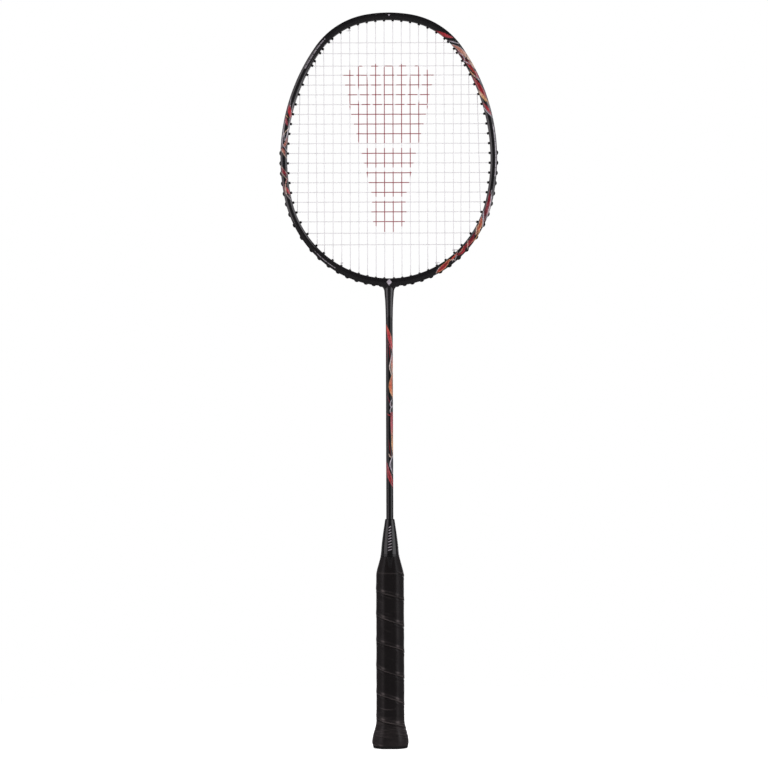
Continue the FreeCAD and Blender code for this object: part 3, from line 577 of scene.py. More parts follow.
def vinyl(name):
    """Stretched finishing tape, glossy, with a brown edge where its glue line shows."""
    shader = Shader(name, Coat_Weight=1.0, Coat_Roughness=0.22, Specular_IOR_Level=0.4)
    cloud = shader.noise(70.0, 4.0, place=shader.stretched((1.0, 1.0, 4.0)))
    base = shader.blend(cloud, (0.005, 0.0043, 0.0048), (0.0095, 0.008, 0.0086))
    shader.colour(shader.blend(shader.attribute("edge"), base, (0.03, 0.014, 0.011)))
    shader.rough(shader.spread(cloud, 0.3, 0.7, 0.2, 0.34))
    shader.bump(shader.noise(300.0, 3.0, place=shader.stretched((1.0, 1.0, 5.0))), 0.0001, 0.35)
    return shader.material


def wood(name):
    """Sanded pale wood, with its grain along the handle."""
    shader = Shader(name)
    grain = shader.noise(260.0, 5.0, place=shader.stretched((1.0, 1.0, 0.05)))
    rings = shader.noise(40.0, 2.0, place=shader.stretched((1.0, 0.6, 0.08)))
    tone = shader.blend(grain, (0.46, 0.29, 0.15), (0.66, 0.47, 0.28))
    shader.colour(shader.blend(shader.spread(rings, 0.4, 0.7, 0.0, 0.5), tone, (0.38, 0.22, 0.11)))
    shader.rough(shader.spread(grain, 0.3, 0.7, 0.55, 0.75))
    shader.bump(grain, 0.0001, 0.4)
    return shader.material


def metal(name, colour, scale):
    """Machined or drawn metal, with fine marks along it."""
    shader = Shader(name, Metallic=1.0)
    marks = shader.noise(900.0, 4.0, place=shader.stretched(scale))
    shader.colour(shader.blend(marks, [c * 0.8 for c in colour], colour))
    shader.rough(shader.spread(marks, 0.3, 0.7, 0.25, 0.45))
    shader.bump(marks, 0.00002, 0.4)
    return shader.material


LACQUER = lacquer("frame_lacquer", 0.09, 0.9, 1.75)
SHAFT_LACQUER = lacquer("shaft_lacquer", 0.05, 0.45, 1.5)
CONE = lacquer("cone_gloss", 0.12, 0.35, 1.6)
GROMMET = moulded("grommet_plastic", (0.008, 0.0072, 0.0082), 0.36, 0.52, 2600.0, 0.00003,
                  Specular_IOR_Level=0.4)
CAP = moulded("cap_plastic", (0.007, 0.006, 0.0062), 0.46, 0.6, 2200.0, 0.00005, Specular_IOR_Level=0.35)
RUBBER = moulded("plug_rubber", (0.05, 0.05, 0.052), 0.75, 0.9, 1600.0, 0.0002, Specular_IOR_Level=0.3)
NYLON = string_nylon("string_nylon")
LEATHER = leather("grip_leather")
VINYL = vinyl("tape_vinyl")
WOOD = wood("core_wood")
ALUMINIUM = metal("joint_metal", (0.72, 0.72, 0.74), (1.0, 1.0, 0.1))
STEEL_WIRE = metal("staple_steel", (0.6, 0.6, 0.63), (0.2, 1.0, 1.0))

# ---- Head frame ----------------------------------------------------------------------------------

LOFT_END_TURN = 172.0
THROAT_GROOVE_GAP = 3.9
FAIRING_HEIGHTS = [391.0, 394.0, 402.0, 411.0, 415.7, 419.0, 424.0]
FAIRING_RADII = [3.26, 3.28, 3.45, 3.82, 4.28, 4.5, 4.6]
FAIRING_FOOT = 391.8
FAIRING_TOP = 427.0
NET_LOW = (-14.5, -5.6, 391.0)
NET_HIGH = (14.5, 5.6, 433.6)
NET_CELL = 0.27


def rim_section():
    """The hoop's section as an open run from one edge of the string groove round to the other, as
    (share of the half width, depth). Its front and back are a narrow flat between two facets."""
    front = [(1.0, -GROOVE_HALF), (1.0, -3.3), (0.97, -3.9), (0.86, -4.2), (0.3, -4.97), (0.0, -5.0),
             (-0.3, -4.97), (-0.84, -4.2), (-0.97, -3.6), (-1.0, -2.4), (-1.0, -0.8)]
    back = [(share, -depth) for share, depth in reversed(front)]
    return resample(chaikin(front + back, 4), 72)


def hoop_stations():
    """Arc lengths of the loft's sections, close together where there are decals."""
    end = float(length_at(LOFT_END_TURN))
    marks = [-end, -314, -284, -228, -128, -102, -62, -2, 3, 48, 152, 206, 214, 316, end]
    steps = [1.4, 0.5, 1.4, 0.33, 1.4, 0.5, 1.4, 0.33, 1.4, 0.33, 0.5, 1.4, 0.33, 1.4]
    parts = []
    for low, high, step in zip(marks, marks[1:], steps):
        count = int(math.ceil((high - low) / step))
        parts.append(np.linspace(low, high, count, endpoint=False))
    return np.concatenate(parts + [[end]])


def throat_field(rim):
    """A field that is negative inside the throat: the hoop's lowest part, blended into the fairing
    round the shaft, with the string groove cut out."""
    centre_z = CENTRES[-1][1]
    half_width = float(hoop_width_at(THROAT_TURN)) / 2
    section = np.stack([rim[:, 0] * half_width, rim[:, 1]], axis=-1)
    runs = np.roll(section, -1, axis=0) - section
    normals = np.stack([runs[:, 1], -runs[:, 0]], axis=-1)
    if (normals * section).sum() < 0:
        normals = -normals
    normals /= np.linalg.norm(normals, axis=1, keepdims=True)
    offsets = (normals * section).sum(axis=1)
    groove_end = math.radians(THROAT_GROOVE_GAP) * RADII[-1]
    loft_end = math.radians(THROAT_TURN - LOFT_END_TURN) * RADII[-1]

    def field(x, y, z):
        reach = np.hypot(x, z - centre_z)
        out = reach - RADII[-1]
        around = np.arctan2(np.abs(x), centre_z - z) * RADII[-1]
        across = out + half_width
        hoop = np.full(np.shape(x), -1e9)
        for normal, offset in zip(normals, offsets):
            hoop = np.maximum(hoop, normal[0] * across + normal[1] * y - offset)
        # The hoop sinks slightly where it meets the loft, so that one surface lies inside the other.
        hoop = hoop + 0.03 * smooth(around, loft_end - 0.6, loft_end)
        socket = np.hypot(x, y * 1.04) - np.interp(z, FAIRING_HEIGHTS, FAIRING_RADII)
        socket = np.maximum(socket, z - FAIRING_TOP)
        sideways = x * x / (x * x + y * y + 1.0)
        soft = 0.9 + 5.0 * sideways
        gap = np.clip(soft - np.abs(hoop - socket), 0, None)
        body = np.minimum(hoop, socket) - gap * gap / (4 * soft)
        groove = np.maximum.reduce([np.abs(y) - GROOVE_HALF, -GROOVE_DEPTH - out, out - 2.0,
                                    groove_end - around])
        return np.maximum.reduce([body, -groove, around - loft_end - 0.4, FAIRING_FOOT - z])

    return field


def head_frame():
    rim = rim_section()
    stations = hoop_stations()
    turns = turn_at(stations)
    half_width = hoop_width_at(turns) / 2
    outs = (rim[None, :, 0] - 1) * half_width[:, None]
    floor = -GROOVE_DEPTH
    wall = [(-0.12, GROOVE_HALF - 0.08), (floor + 0.3, GROOVE_HALF - 0.1), (floor, GROOVE_HALF - 0.4)]
    groove = np.array(wall + [(floor, 0.0)] + [(out, -side) for out, side in reversed(wall)])
    outs = np.concatenate([outs, np.repeat(groove[None, :, 0], len(turns), axis=0)], axis=1)
    depths = np.repeat(np.concatenate([rim[:, 1], groove[:, 1]])[None, :], len(turns), axis=0)
    points = hoop_points(turns[:, None], outs, depths)
    rows, columns = outs.shape
    faces = grid_faces(rows, columns)
    faces.append(list(range(columns)))
    faces.append(list(range((rows - 1) * columns, rows * columns))[::-1])

    strip = Strip(np.repeat(stations, columns), -outs)
    crown_dot = [(0.1, 2.3), (0.9, 2.3)]
    strip.stroke([SILVER], crown_dot, [1.2, 1.2])
    paint_upper_right(strip)
    paint_lower_right(strip)
    strip.along = -strip.along
    paint_left(strip)
    paint = strip.result()
    in_groove = np.tile(np.arange(columns) >= len(rim), rows)
    paint[in_groove, 3] = 0

    net, net_faces = surface_net(throat_field(rim), NET_LOW, NET_HIGH, NET_CELL)
    start = rows * columns
    faces += [[index + start for index in face] for face in net_faces]
    points = np.concatenate([points.reshape(-1, 3), net])
    half_across, half_tall = 2.5, 3.1
    above_throat = net[:, 2] - THROAT_HEIGHT - 3.6
    lozenge = 1 - smooth(np.abs(net[:, 0]) / half_across + np.abs(above_throat) / half_tall, 0.85, 1.1)
    mark = np.concatenate([np.tile(SILVER, (len(net), 1)), lozenge[:, None]], axis=1)
    paint = np.concatenate([paint, mark])
    piece = make_piece("head_frame_hoop", points, faces, LACQUER, paint)
    sharpen(piece, 40)
    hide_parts("head_frame")
    return piece


# ---- Shaft, cone and tape ------------------------------------------------------------------------

SHAFT_TOP = THROAT_HEIGHT - 0.3
SHAFT_FOOT = 96.0
SHAFT_BORE = 2.0
SHAFT_TOP_RADIUS = 3.1
SHAFT_TAPER = 0.15
DRAWN_LARGER = 0.1
PAINT_RADIUS = 3.18


def shaft_radius_at(height):
    """The CAD's taper from the throat down to the foot inside the handle, drawn a little larger."""
    share = (THROAT_HEIGHT - height) / (THROAT_HEIGHT - SHAFT_FOOT)
    return DRAWN_LARGER + SHAFT_TOP_RADIUS + SHAFT_TAPER * share


def shaft():
    sides = 80
    decals_foot, decals_top, decal_step = 234.0, 391.0, 0.36
    heights = np.concatenate([np.linspace(SHAFT_FOOT, decals_foot, 70, endpoint=False),
                              np.arange(decals_foot, decals_top, decal_step),
                              np.linspace(decals_top, SHAFT_TOP, 16)])
    angle = np.linspace(0, 2 * math.pi, sides, endpoint=False)
    radius = np.concatenate([shaft_radius_at(heights), [SHAFT_BORE, SHAFT_BORE]])
    heights = np.concatenate([heights, [SHAFT_TOP, SHAFT_FOOT]])
    points = round_points(radius[:, None], angle, heights[:, None])
    rows = len(points)
    faces = grid_faces(rows, sides) + closing_faces(0, (rows - 1) * sides, sides)

    place = np.mod(angle + math.pi / 2, math.pi) - math.pi / 2
    along = np.repeat(heights, sides)
    strip = Strip(along, np.tile(place * PAINT_RADIUS, rows), period=math.pi * PAINT_RADIUS)
    paint_shaft(strip)
    paint = strip.result()
    paint[-2 * sides:, 3] = 0
    piece = make_piece("shaft_tube", points, faces, SHAFT_LACQUER, paint)
    sharpen(piece, 40)
    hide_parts("shaft")
    return piece


def lathe(name, profile, sides, material, node, painter):
    """A closed (radius, height) profile turned about Z, and painted over its front."""
    angle = np.linspace(0, 2 * math.pi, sides, endpoint=False)
    profile = np.asarray(profile, float)
    points = round_points(profile[:, :1], angle, profile[:, 1:])
    faces = grid_faces(len(profile), sides) + closing_faces(0, (len(profile) - 1) * sides, sides)
    turn = np.arctan2(points[..., 0], -points[..., 1])
    strip = Strip(points[..., 2], turn * np.hypot(points[..., 0], points[..., 1]))
    painter(strip)
    piece = make_piece(name, points, faces, material, strip.result())
    sharpen(piece, 35)
    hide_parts(node)
    return piece


def paint_cone(strip):
    """A plain ladder of short slanted bars up the front."""
    ladder_foot, ladder_top, spacing = 182.0, 203.0, 2.6
    for height in np.arange(ladder_foot, ladder_top, spacing):
        half = 0.75 + 0.035 * (ladder_top - height)
        strip.stroke([SILVER], [(height - 0.45, -half), (height + 0.45, half)], [0.85, 0.85], strength=0.7)


def shaft_cone():
    """The cone's outside, with a rolled rim, a bead and a groove above its lip."""
    rim = [(3.3, 209.6), (3.5, 210.0), (4.15, 210.0), (4.4, 209.5)]
    flank = [(4.9, 206.0), (5.7, 201.0), (6.5, 195.4), (7.2, 190.0), (7.75, 185.0), (8.0, 181.5),
             (8.3, 178.6)]
    outside = resample(chaikin(rim + flank, 3), 110)
    foot = [(8.38, 178.2), (8.44, 177.95), (8.36, 177.8), (8.3, 177.7), (8.36, 177.6), (8.52, 177.5),
            (8.62, 177.1), (8.66, 176.6), (8.6, 176.4), (8.56, 176.25), (8.62, 176.1), (8.76, 175.95),
            (8.78, 175.6), (8.7, 175.5)]
    inside = [(7.7, 175.5), (6.85, 182.5), (4.95, 194.0), (3.3, 197.0)]
    return lathe("shaft_cone_shell", list(map(tuple, outside)) + foot + inside, 120, CONE,
                 "shaft_cone", paint_cone)


# ---- Handle --------------------------------------------------------------------------------------

GRIP_WIDTH = 25.4
GRIP_TOP = 175.4
FRONT_DISTANCE = 12.1
SIDE_DISTANCE = 12.7
BEVEL_DISTANCE = 13.035
BEVEL_ANGLE = math.radians(46.35)
WRAP_THICKNESS = 1.75
MOST_DEPTH = 15.84
# How sharp the octagon's corners are: under the wound leather, under thin tape, and moulded.
WORN = 15.0
CRISP = 30.0
MOULDED = 34.0


def octagon_radius(angle, scale, sharpness):
    """Radius of the handle's octagon at angles from the front, with its corners rounded."""
    facets = [(0.0, FRONT_DISTANCE), (math.pi, FRONT_DISTANCE),
              (math.pi / 2, SIDE_DISTANCE), (-math.pi / 2, SIDE_DISTANCE)]
    for hand in (-1, 1):
        facets.append((hand * BEVEL_ANGLE, BEVEL_DISTANCE))
        facets.append((hand * (math.pi - BEVEL_ANGLE), BEVEL_DISTANCE))
    total = 0.0
    for centre, distance in facets:
        total = total + np.clip(np.cos(angle - centre) / distance, 0, None) ** sharpness
    return scale * total ** (-1.0 / sharpness)


GRIP_LEVELS = [2.8, 4.6, 7.6, 10.6, 13.6, 16.6, 20.0, 23.0, 27.0, 155.0, 161.5, 168.0, 175.4]
GRIP_WIDTHS = [32.4, 33.4, 33.3, 32.3, 30.7, 28.8, 27.0, 25.9, 25.4, 25.4, 25.0, 21.4, 17.4]

GRIP_PROFILE = chaikin(np.array([GRIP_LEVELS, GRIP_WIDTHS]).T, 3)


def grip_scale(heights):
    """Width of the grip at a height, as a share of its straight width."""
    return np.interp(heights, GRIP_PROFILE[:, 0], GRIP_PROFILE[:, 1]) / GRIP_WIDTH


WRAP_PITCH = 23.7
FIRST_SEAM = 140.2


def wrap_phase(angle, heights):
    """How far a point lies above the seam below it, as a share of the pitch. The turns climb to the
    left across the front, and are spaced a little unevenly, as wound by hand."""
    uneven = 0.3 * np.sin(heights / 21.0) - 1.8 * np.exp(-((heights - 20.0) / 12.0) ** 2)
    wander = 0.45 * np.sin(2 * angle + heights / 9.0)
    climb = heights + WRAP_PITCH * angle / (2 * math.pi) + uneven + wander
    return np.mod((climb - FIRST_SEAM) / WRAP_PITCH, 1.0)


def wrinkles(generator):
    """Creases as (angle, height, slope, reach, depth): many fine level ones where the leather is
    pulled over the flare, and a few long ones above it."""
    fine_count, long_count = 64, 26
    made = []
    for _ in range(fine_count):
        place = generator.uniform(-math.pi, math.pi)
        height = 9.0 + 27.0 * generator.random() ** 1.3
        made.append((place, height, generator.uniform(0.02, 0.22), generator.uniform(3.0, 9.0),
                     generator.uniform(0.1, 0.24)))
    for _ in range(long_count):
        place = generator.uniform(-math.pi, math.pi)
        height = generator.uniform(34.0, 152.0)
        made.append((place, height, generator.uniform(0.1, 0.5), generator.uniform(2.0, 5.0),
                     generator.uniform(0.04, 0.09)))
    return made


def grip_wrap():
    rows = 560
    columns = 260
    heights = np.linspace(2.8, GRIP_TOP, rows)[:, None]
    angle = np.linspace(-math.pi, math.pi, columns, endpoint=False)[None, :]
    phase = wrap_phase(angle, heights)
    above = phase * WRAP_PITCH
    below = (1 - phase) * WRAP_PITCH
    taped_from, taped_by = 158.0, 164.0
    taped = smooth(heights, taped_from, taped_by)
    # Each turn's lower edge laps over the turn below it, with a groove under the edge.
    lap = 0.36 * np.exp(-(above / 3.4) ** 2) * smooth(above, 0.0, 0.3)
    groove = 0.5 * np.exp(-(below / 0.8) ** 2) + 0.3 * np.exp(-(above / 0.3) ** 2)
    shoulder = 0.16 * np.exp(-((below - 2.2) / 1.0) ** 2)
    dome = 0.12 * np.sin(math.pi * phase)
    relief = (lap - groove + shoulder + dome) * (1 - taped) - 0.04
    seed, waves = 7, 14
    generator = np.random.default_rng(seed)
    for _ in range(waves):
        k_angle = generator.integers(1, 9)
        k_height = generator.uniform(0.05, 0.45)
        shift = generator.uniform(0, 2 * math.pi)
        relief = relief + 0.02 * np.sin(k_angle * angle + k_height * heights + shift) * (1 - 0.6 * taped)
    crease_shades = np.zeros_like(phase)
    ridge_highlights = np.zeros_like(phase)
    for place, height, slope, reach, depth in wrinkles(generator):
        offset = np.mod(angle - place + math.pi, 2 * math.pi) - math.pi
        line = heights - height + slope * offset * 12 - 0.04 * (offset * 12) ** 2 * np.sign(slope) * 0.5
        fade = np.exp(-(offset * 12.5 / reach) ** 2)
        crease = np.exp(-((line - 0.6) / 0.5) ** 2) - 0.9 * np.exp(-(line / 0.4) ** 2)
        relief = relief + fade * depth * crease
        # Painted shade along each wrinkle's line.
        crease_shades = np.maximum(crease_shades, 2.5 * depth * fade * np.exp(-(line / 0.35) ** 2))
        # Painted highlight along each wrinkle's ridge.
        ridge_highlights = np.maximum(ridge_highlights, 2.0 * depth * fade * np.exp(-((line - 0.75) / 0.4) ** 2))
    radius = octagon_radius(angle, grip_scale(heights), WORN) + relief
    radius = np.minimum(radius, MOST_DEPTH / np.maximum(np.abs(np.cos(angle)), 0.2))
    inner_heights = np.array(GRIP_LEVELS[::-1])[:, None]
    inner = octagon_radius(angle, grip_scale(inner_heights), CRISP) - WRAP_THICKNESS
    points = round_points(np.concatenate([radius, inner]), angle, np.concatenate([heights, inner_heights]))
    # Paler places: rubbed wear with painted highlight along the seams, a painted highlight band down each
    # front corner with brighter painted spots where the seams cross it, and painted highlights on the
    # wrinkles' ridges.
    across = np.abs(octagon_radius(angle, 1.0, WORN) * np.sin(angle))
    # Painted highlight band down each front corner of the octagon, facing the camera side only.
    corner = np.exp(-((across - 6.6) / 1.5) ** 2) * (np.cos(angle) > 0)
    patchy = 0.55 + 0.45 * np.sin(heights / 3.1 + 5.0 * angle) * np.sin(heights / 11.0 + 1.0)
    edge = 0.75 * np.exp(-((above - 0.6) / 0.7) ** 2) * (0.3 + 0.6 * patchy)
    edge = edge + 1.3 * np.exp(-((above - 2.8) / 0.8) ** 2) * corner * (0.4 + 0.6 * patchy)
    edge = edge + 0.3 * np.exp(-((above - 3.4) / 0.5) ** 2) * patchy
    edge = edge + 0.1 * corner * (0.6 + 0.4 * patchy) + 0.12 * (1 - smooth(heights, 14, 34))
    edge = edge + ridge_highlights
    last_turn = 160.6 + 0.9 * (1 - np.cos(angle))
    edge = np.clip(edge, 0, 1) * (1 - taped) + 0.3 * np.exp(-((heights - last_turn) / 0.5) ** 2)
    # Painted shade: near-black in the groove under each turn's edge and along the wrinkles.
    crease = np.clip(np.maximum(np.exp(-(below / 0.55) ** 2) * (1 - taped), crease_shades), 0, 1)
    blank = np.zeros(inner.shape)
    faces = grid_faces(len(points), columns) + closing_faces(0, (len(points) - 1) * columns, columns)
    piece = make_piece("grip_winding", points, faces, LEATHER, scalars={
        "edge": np.concatenate([edge, blank]), "crease": np.concatenate([crease, blank])})
    sharpen(piece, 55)
    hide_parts("grip_wrap")
    return piece


TAPE_FOOT = 164.5


def finishing_tape():
    """Tape round the grip's tapered top: octagonal at its foot and round under the cone's lip."""
    rows = 60
    columns = 220
    heights = np.linspace(TAPE_FOOT, GRIP_TOP, rows)[:, None]
    angle = np.linspace(-math.pi, math.pi, columns, endpoint=False)[None, :]
    share = smooth(heights, 162.0, 169.0)
    eight = octagon_radius(angle, grip_scale(heights), CRISP)
    round_top = grip_scale(heights) * FRONT_DISTANCE * 1.02
    radius = eight * (1 - share) + round_top * share + 0.2
    radius = radius + 0.05 * np.sin(5 * angle + heights) * (1 - share)
    lap = 0.16 * smooth(angle - 0.05 * (heights - 170.0), 1.9, 1.93)
    radius = radius + lap - 0.1
    wavy = 163.0 + 0.3 * np.sin(angle * 2 + 0.6) + 0.9 * (1 - np.cos(angle))
    lifted = np.clip((heights - TAPE_FOOT) / (GRIP_TOP - TAPE_FOOT), 0, 1)
    places = wavy + (GRIP_TOP - wavy) * lifted
    turned_in = [-1, 0]
    radius = np.concatenate([radius, radius[turned_in] - 0.5])
    points = round_points(radius, angle, np.concatenate([places, places[turned_in]]))
    edge = np.exp(-((places - wavy - 0.5) / 0.8) ** 2)
    faces = grid_faces(rows + 2, columns) + closing_faces(0, (rows + 1) * columns, columns)
    piece = make_piece("finishing_tape_band", points, faces, VINYL, scalars={
        "edge": np.concatenate([edge, np.zeros((2, columns))])})
    sharpen(piece, 45)
    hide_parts("finishing_tape")
    return piece


def butt_cap():
    """The cap: a rounded octagonal rim, a shallow dish with two rings, and a spigot in the bore."""
    columns = 200
    angle = np.linspace(-math.pi, math.pi, columns, endpoint=False)
    levels = [(32.3, 2.8), (32.2, 2.4), (32.0, 1.8), (31.7, 1.2), (31.2, 0.75), (30.5, 0.3), (29.8, 0.08),
              (29.2, 0.0), (25.0, 0.0), (21.0, 0.0)]
    rings = [(octagon_radius(angle, width / GRIP_WIDTH, MOULDED), height) for width, height in levels]
    flat = [(8.4, 0.0), (8.2, 0.03), (8.0, 0.2), (7.9, 0.5), (7.6, 0.6), (6.4, 0.6), (6.2, 0.5), (5.9, 0.5),
            (5.7, 0.6), (3.2, 0.6), (3.0, 0.45), (2.6, 0.45), (2.4, 0.6), (0.02, 0.6)]
    rings += flat
    start = len(rings) * columns
    top = [(octagon_radius(angle, 32.3 / GRIP_WIDTH, MOULDED) - 0.3, 2.8), (4.48, 2.8), (4.48, 13.8),
           (4.2, 14.0), (3.0, 14.0), (3.0, 4.0), (0.02, 4.0)]
    points = np.array([round_points(radius, angle, height) for radius, height in rings + top])
    faces = [face[::-1] for face in grid_faces(len(rings), columns)]
    faces += grid_faces(len(top), columns, start) + closing_faces(start, 0, columns)
    piece = make_piece("butt_cap_moulding", points, faces, CAP)
    sharpen(piece, 35)
    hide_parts("butt_cap")
    return piece


# ---- Strings -------------------------------------------------------------------------------------

STRING_RADIUS = 0.35
INKED_RADIUS = 0.42
MAIN_COUNT = 22
MAIN_PITCH = 7.9
CROSS_COUNT = 21
CROSS_PITCH = 8.97
END_CROSS_PITCH = 10.6
WIDE_GAPS = 2
TOP_CROSS = 647.9
WEAVE = 0.37
LANE_HEIGHT = -0.94
THROAT_LEANS = {0: 1.9, 1: 0.8}
MAIN_LANE = 0.37
CROSS_LANE = -0.37
TAIL_LANE = 1.2
HALF_MAINS = MAIN_COUNT // 2


def main_x(index):
    return (index - (MAIN_COUNT - 1) / 2) * MAIN_PITCH


def cross_z(index):
    wide = min(index, WIDE_GAPS) + max(0, index - (CROSS_COUNT - 1 - WIDE_GAPS))
    return TOP_CROSS - wide * END_CROSS_PITCH - (index - wide) * CROSS_PITCH


HALVINGS = 50


def turn_where(axis, value, low, high):
    """The turn between low and high at which the barrels' mouths reach an x or z value."""
    falling = hoop_points(low, MOUTH, 0.0)[axis] > value
    for _ in range(HALVINGS):
        middle = (low + high) / 2
        if (hoop_points(middle, MOUTH, 0.0)[axis] > value) == falling:
            low = middle
        else:
            high = middle
    return (low + high) / 2


# Near the corners some mains share the hole of a cross. Other pairs at the top are a set gap apart.
SHARED_AT_TOP = {9: 3, 10: 5}
SHARED_AT_BOTTOM = {10: 17, 9: 19, 8: 20}
TOP_PAIRS = {6: 0, 7: 1, 8: 2}
TOP_PAIR_GAP = 4.9


def spread_pairs(mains, crosses, pairs, gap):
    for step, cross in pairs.items():
        middle = float(length_at(mains[step]) + length_at(crosses[cross])) / 2
        mains[step] = float(turn_at(middle - gap / 2))
        crosses[cross] = float(turn_at(middle + gap / 2))


def right_half_holes():
    mains = [main_x(HALF_MAINS + step) for step in range(HALF_MAINS)]
    tops = [turn_where(0, x, 0.0, 90.0) for x in mains]
    bottoms = [turn_where(0, x, 90.0, THROAT_TURN) for x in mains]
    crosses = [turn_where(2, cross_z(index), 0.0, THROAT_TURN) for index in range(CROSS_COUNT)]
    spread_pairs(tops, crosses, TOP_PAIRS, TOP_PAIR_GAP)
    for step, cross in SHARED_AT_TOP.items():
        tops[step] = crosses[cross]
    for step, cross in SHARED_AT_BOTTOM.items():
        bottoms[step] = crosses[cross]
    return tops, bottoms, crosses


TOPS, BOTTOMS, CROSSES = right_half_holes()


def main_hole(index, at_top):
    """A main's hole as its turn inside the hoop and outside it."""
    step = index - HALF_MAINS if index >= HALF_MAINS else HALF_MAINS - 1 - index
    hand = 1 if index >= HALF_MAINS else -1
    inner = TOPS[step] if at_top else BOTTOMS[step]
    lean = 0.0 if at_top else THROAT_LEANS.get(step, 0.0)
    return hand * inner, hand * (inner - lean)


def cross_hole(index, hand):
    return hand * CROSSES[index], hand * CROSSES[index]


def inside_mouth(hole, lane):
    return hoop_points(hole[0], MOUTH, lane)


def outside_mouth(hole, lane):
    return hoop_points(hole[1], LANE_HEIGHT, lane)


def main_line(main, height):
    """X at a height on a main, which runs straight from hole to hole."""
    top = inside_mouth(main_hole(main, True), 0)
    bottom = inside_mouth(main_hole(main, False), 0)
    return bottom[0] + (top[0] - bottom[0]) * (height - bottom[2]) / (top[2] - bottom[2])


def cross_line(cross):
    """Height of a cross, which runs level from hole to hole."""
    return inside_mouth(cross_hole(cross, 1), 0)[2]


def they_cross(main, cross):
    margin = 0.8
    z = cross_line(cross)
    top = inside_mouth(main_hole(main, True), 0)[2]
    bottom = inside_mouth(main_hole(main, False), 0)[2]
    width = inside_mouth(cross_hole(cross, 1), 0)[0]
    return abs(main_line(main, z)) < width - margin and bottom + margin < z < top - margin


def woven_side(main, cross):
    return WEAVE if (main + cross) % 2 == 0 else -WEAVE


def main_crossings(main):
    met = [cross for cross in reversed(range(CROSS_COUNT)) if they_cross(main, cross)]
    heights = [(cross, cross_line(cross)) for cross in met]
    return [np.array([main_line(main, z), woven_side(main, cross), z]) for cross, z in heights]


def cross_crossings(cross):
    met = [main for main in range(MAIN_COUNT) if they_cross(main, cross)]
    z = cross_line(cross)
    return [np.array([main_line(main, z), -woven_side(main, cross), z]) for main in met]


def along_groove(start, end, lane):
    """Points in the groove from one hole to another, about 2 mm apart."""
    distance = abs(float(length_at(end) - length_at(start)))
    steps = max(2, int(distance / 2.0))
    turns = [start + (end - start) * step / steps for step in range(1, steps)]
    return [hoop_points(turn, LANE_HEIGHT, lane) for turn in turns]


def eased_run(start, crossings, end):
    """Points across the head, swinging smoothly from one side of the bed to the other."""
    stops = [start] + crossings + [end]
    points = []
    for first, second in zip(stops, stops[1:]):
        count = max(2, int(np.linalg.norm(second - first) / 0.75))
        for step in range(count):
            share = step / count
            swing = share * share * (3 - 2 * share)
            spot = first + (second - first) * share
            spot[1] = first[1] + (second[1] - first[1]) * swing
            points.append(spot)
    return points + [end]


def rounded(points, reach):
    """The run of points with each sharp corner turned in a short curve."""
    made = [points[0]]
    for before, corner, after in zip(points, points[1:], points[2:]):
        back = before - corner
        ahead = after - corner
        sizes = np.linalg.norm(back), np.linalg.norm(ahead)
        turn = back @ ahead / max(sizes[0] * sizes[1], 1e-9)
        if turn < -0.94 or min(sizes) < 1e-6:
            made.append(corner)
            continue
        near = min(reach, 0.45 * sizes[0], 0.45 * sizes[1])
        first = corner + back / sizes[0] * near
        last = corner + ahead / sizes[1] * near
        for share in (0.0, 0.25, 0.5, 0.75, 1.0):
            made.append(first * (1 - share) ** 2 + 2 * corner * share * (1 - share) + last * share ** 2)
    made.append(points[-1])
    return made


def tube_mesh(points, radius, sides, start=0):
    """Points and faces of a capped tube along a run of points, with distance along and the turn
    round it. The radius comes from a function of the points."""
    points = np.array(points)
    keep = np.concatenate([[True], np.linalg.norm(np.diff(points, axis=0), axis=1) > 0.02])
    points = points[keep]
    ahead = np.diff(points, axis=0)
    ahead /= np.linalg.norm(ahead, axis=1, keepdims=True)
    tangent = np.concatenate([ahead[:1], ahead[:-1] + ahead[1:], ahead[-1:]])
    tangent /= np.linalg.norm(tangent, axis=1, keepdims=True)
    normal = np.zeros_like(points)
    side = np.cross(tangent[0], [0.3, 0.9, 0.2])
    normal[0] = side / np.linalg.norm(side)
    for index in range(1, len(points)):
        carried = normal[index - 1] - (normal[index - 1] @ tangent[index]) * tangent[index]
        normal[index] = carried / np.linalg.norm(carried)
    other = np.cross(tangent, normal)
    angle = np.linspace(0, 2 * math.pi, sides, endpoint=False)
    spokes = np.cos(angle)[None, :, None] * normal[:, None] + np.sin(angle)[None, :, None] * other[:, None]
    rings = points[:, None] + radius(points)[:, None, None] * spokes
    count = len(points)
    faces = grid_faces(count, sides, start)
    faces.append([start + k for k in range(sides)][::-1])
    faces.append([start + (count - 1) * sides + k for k in range(sides)])
    along = np.concatenate([[0.0], np.cumsum(np.linalg.norm(np.diff(points, axis=0), axis=1))])
    around = np.tile(angle / (2 * math.pi), count)
    return rings.reshape(-1, 3), faces, np.repeat(along, sides), around


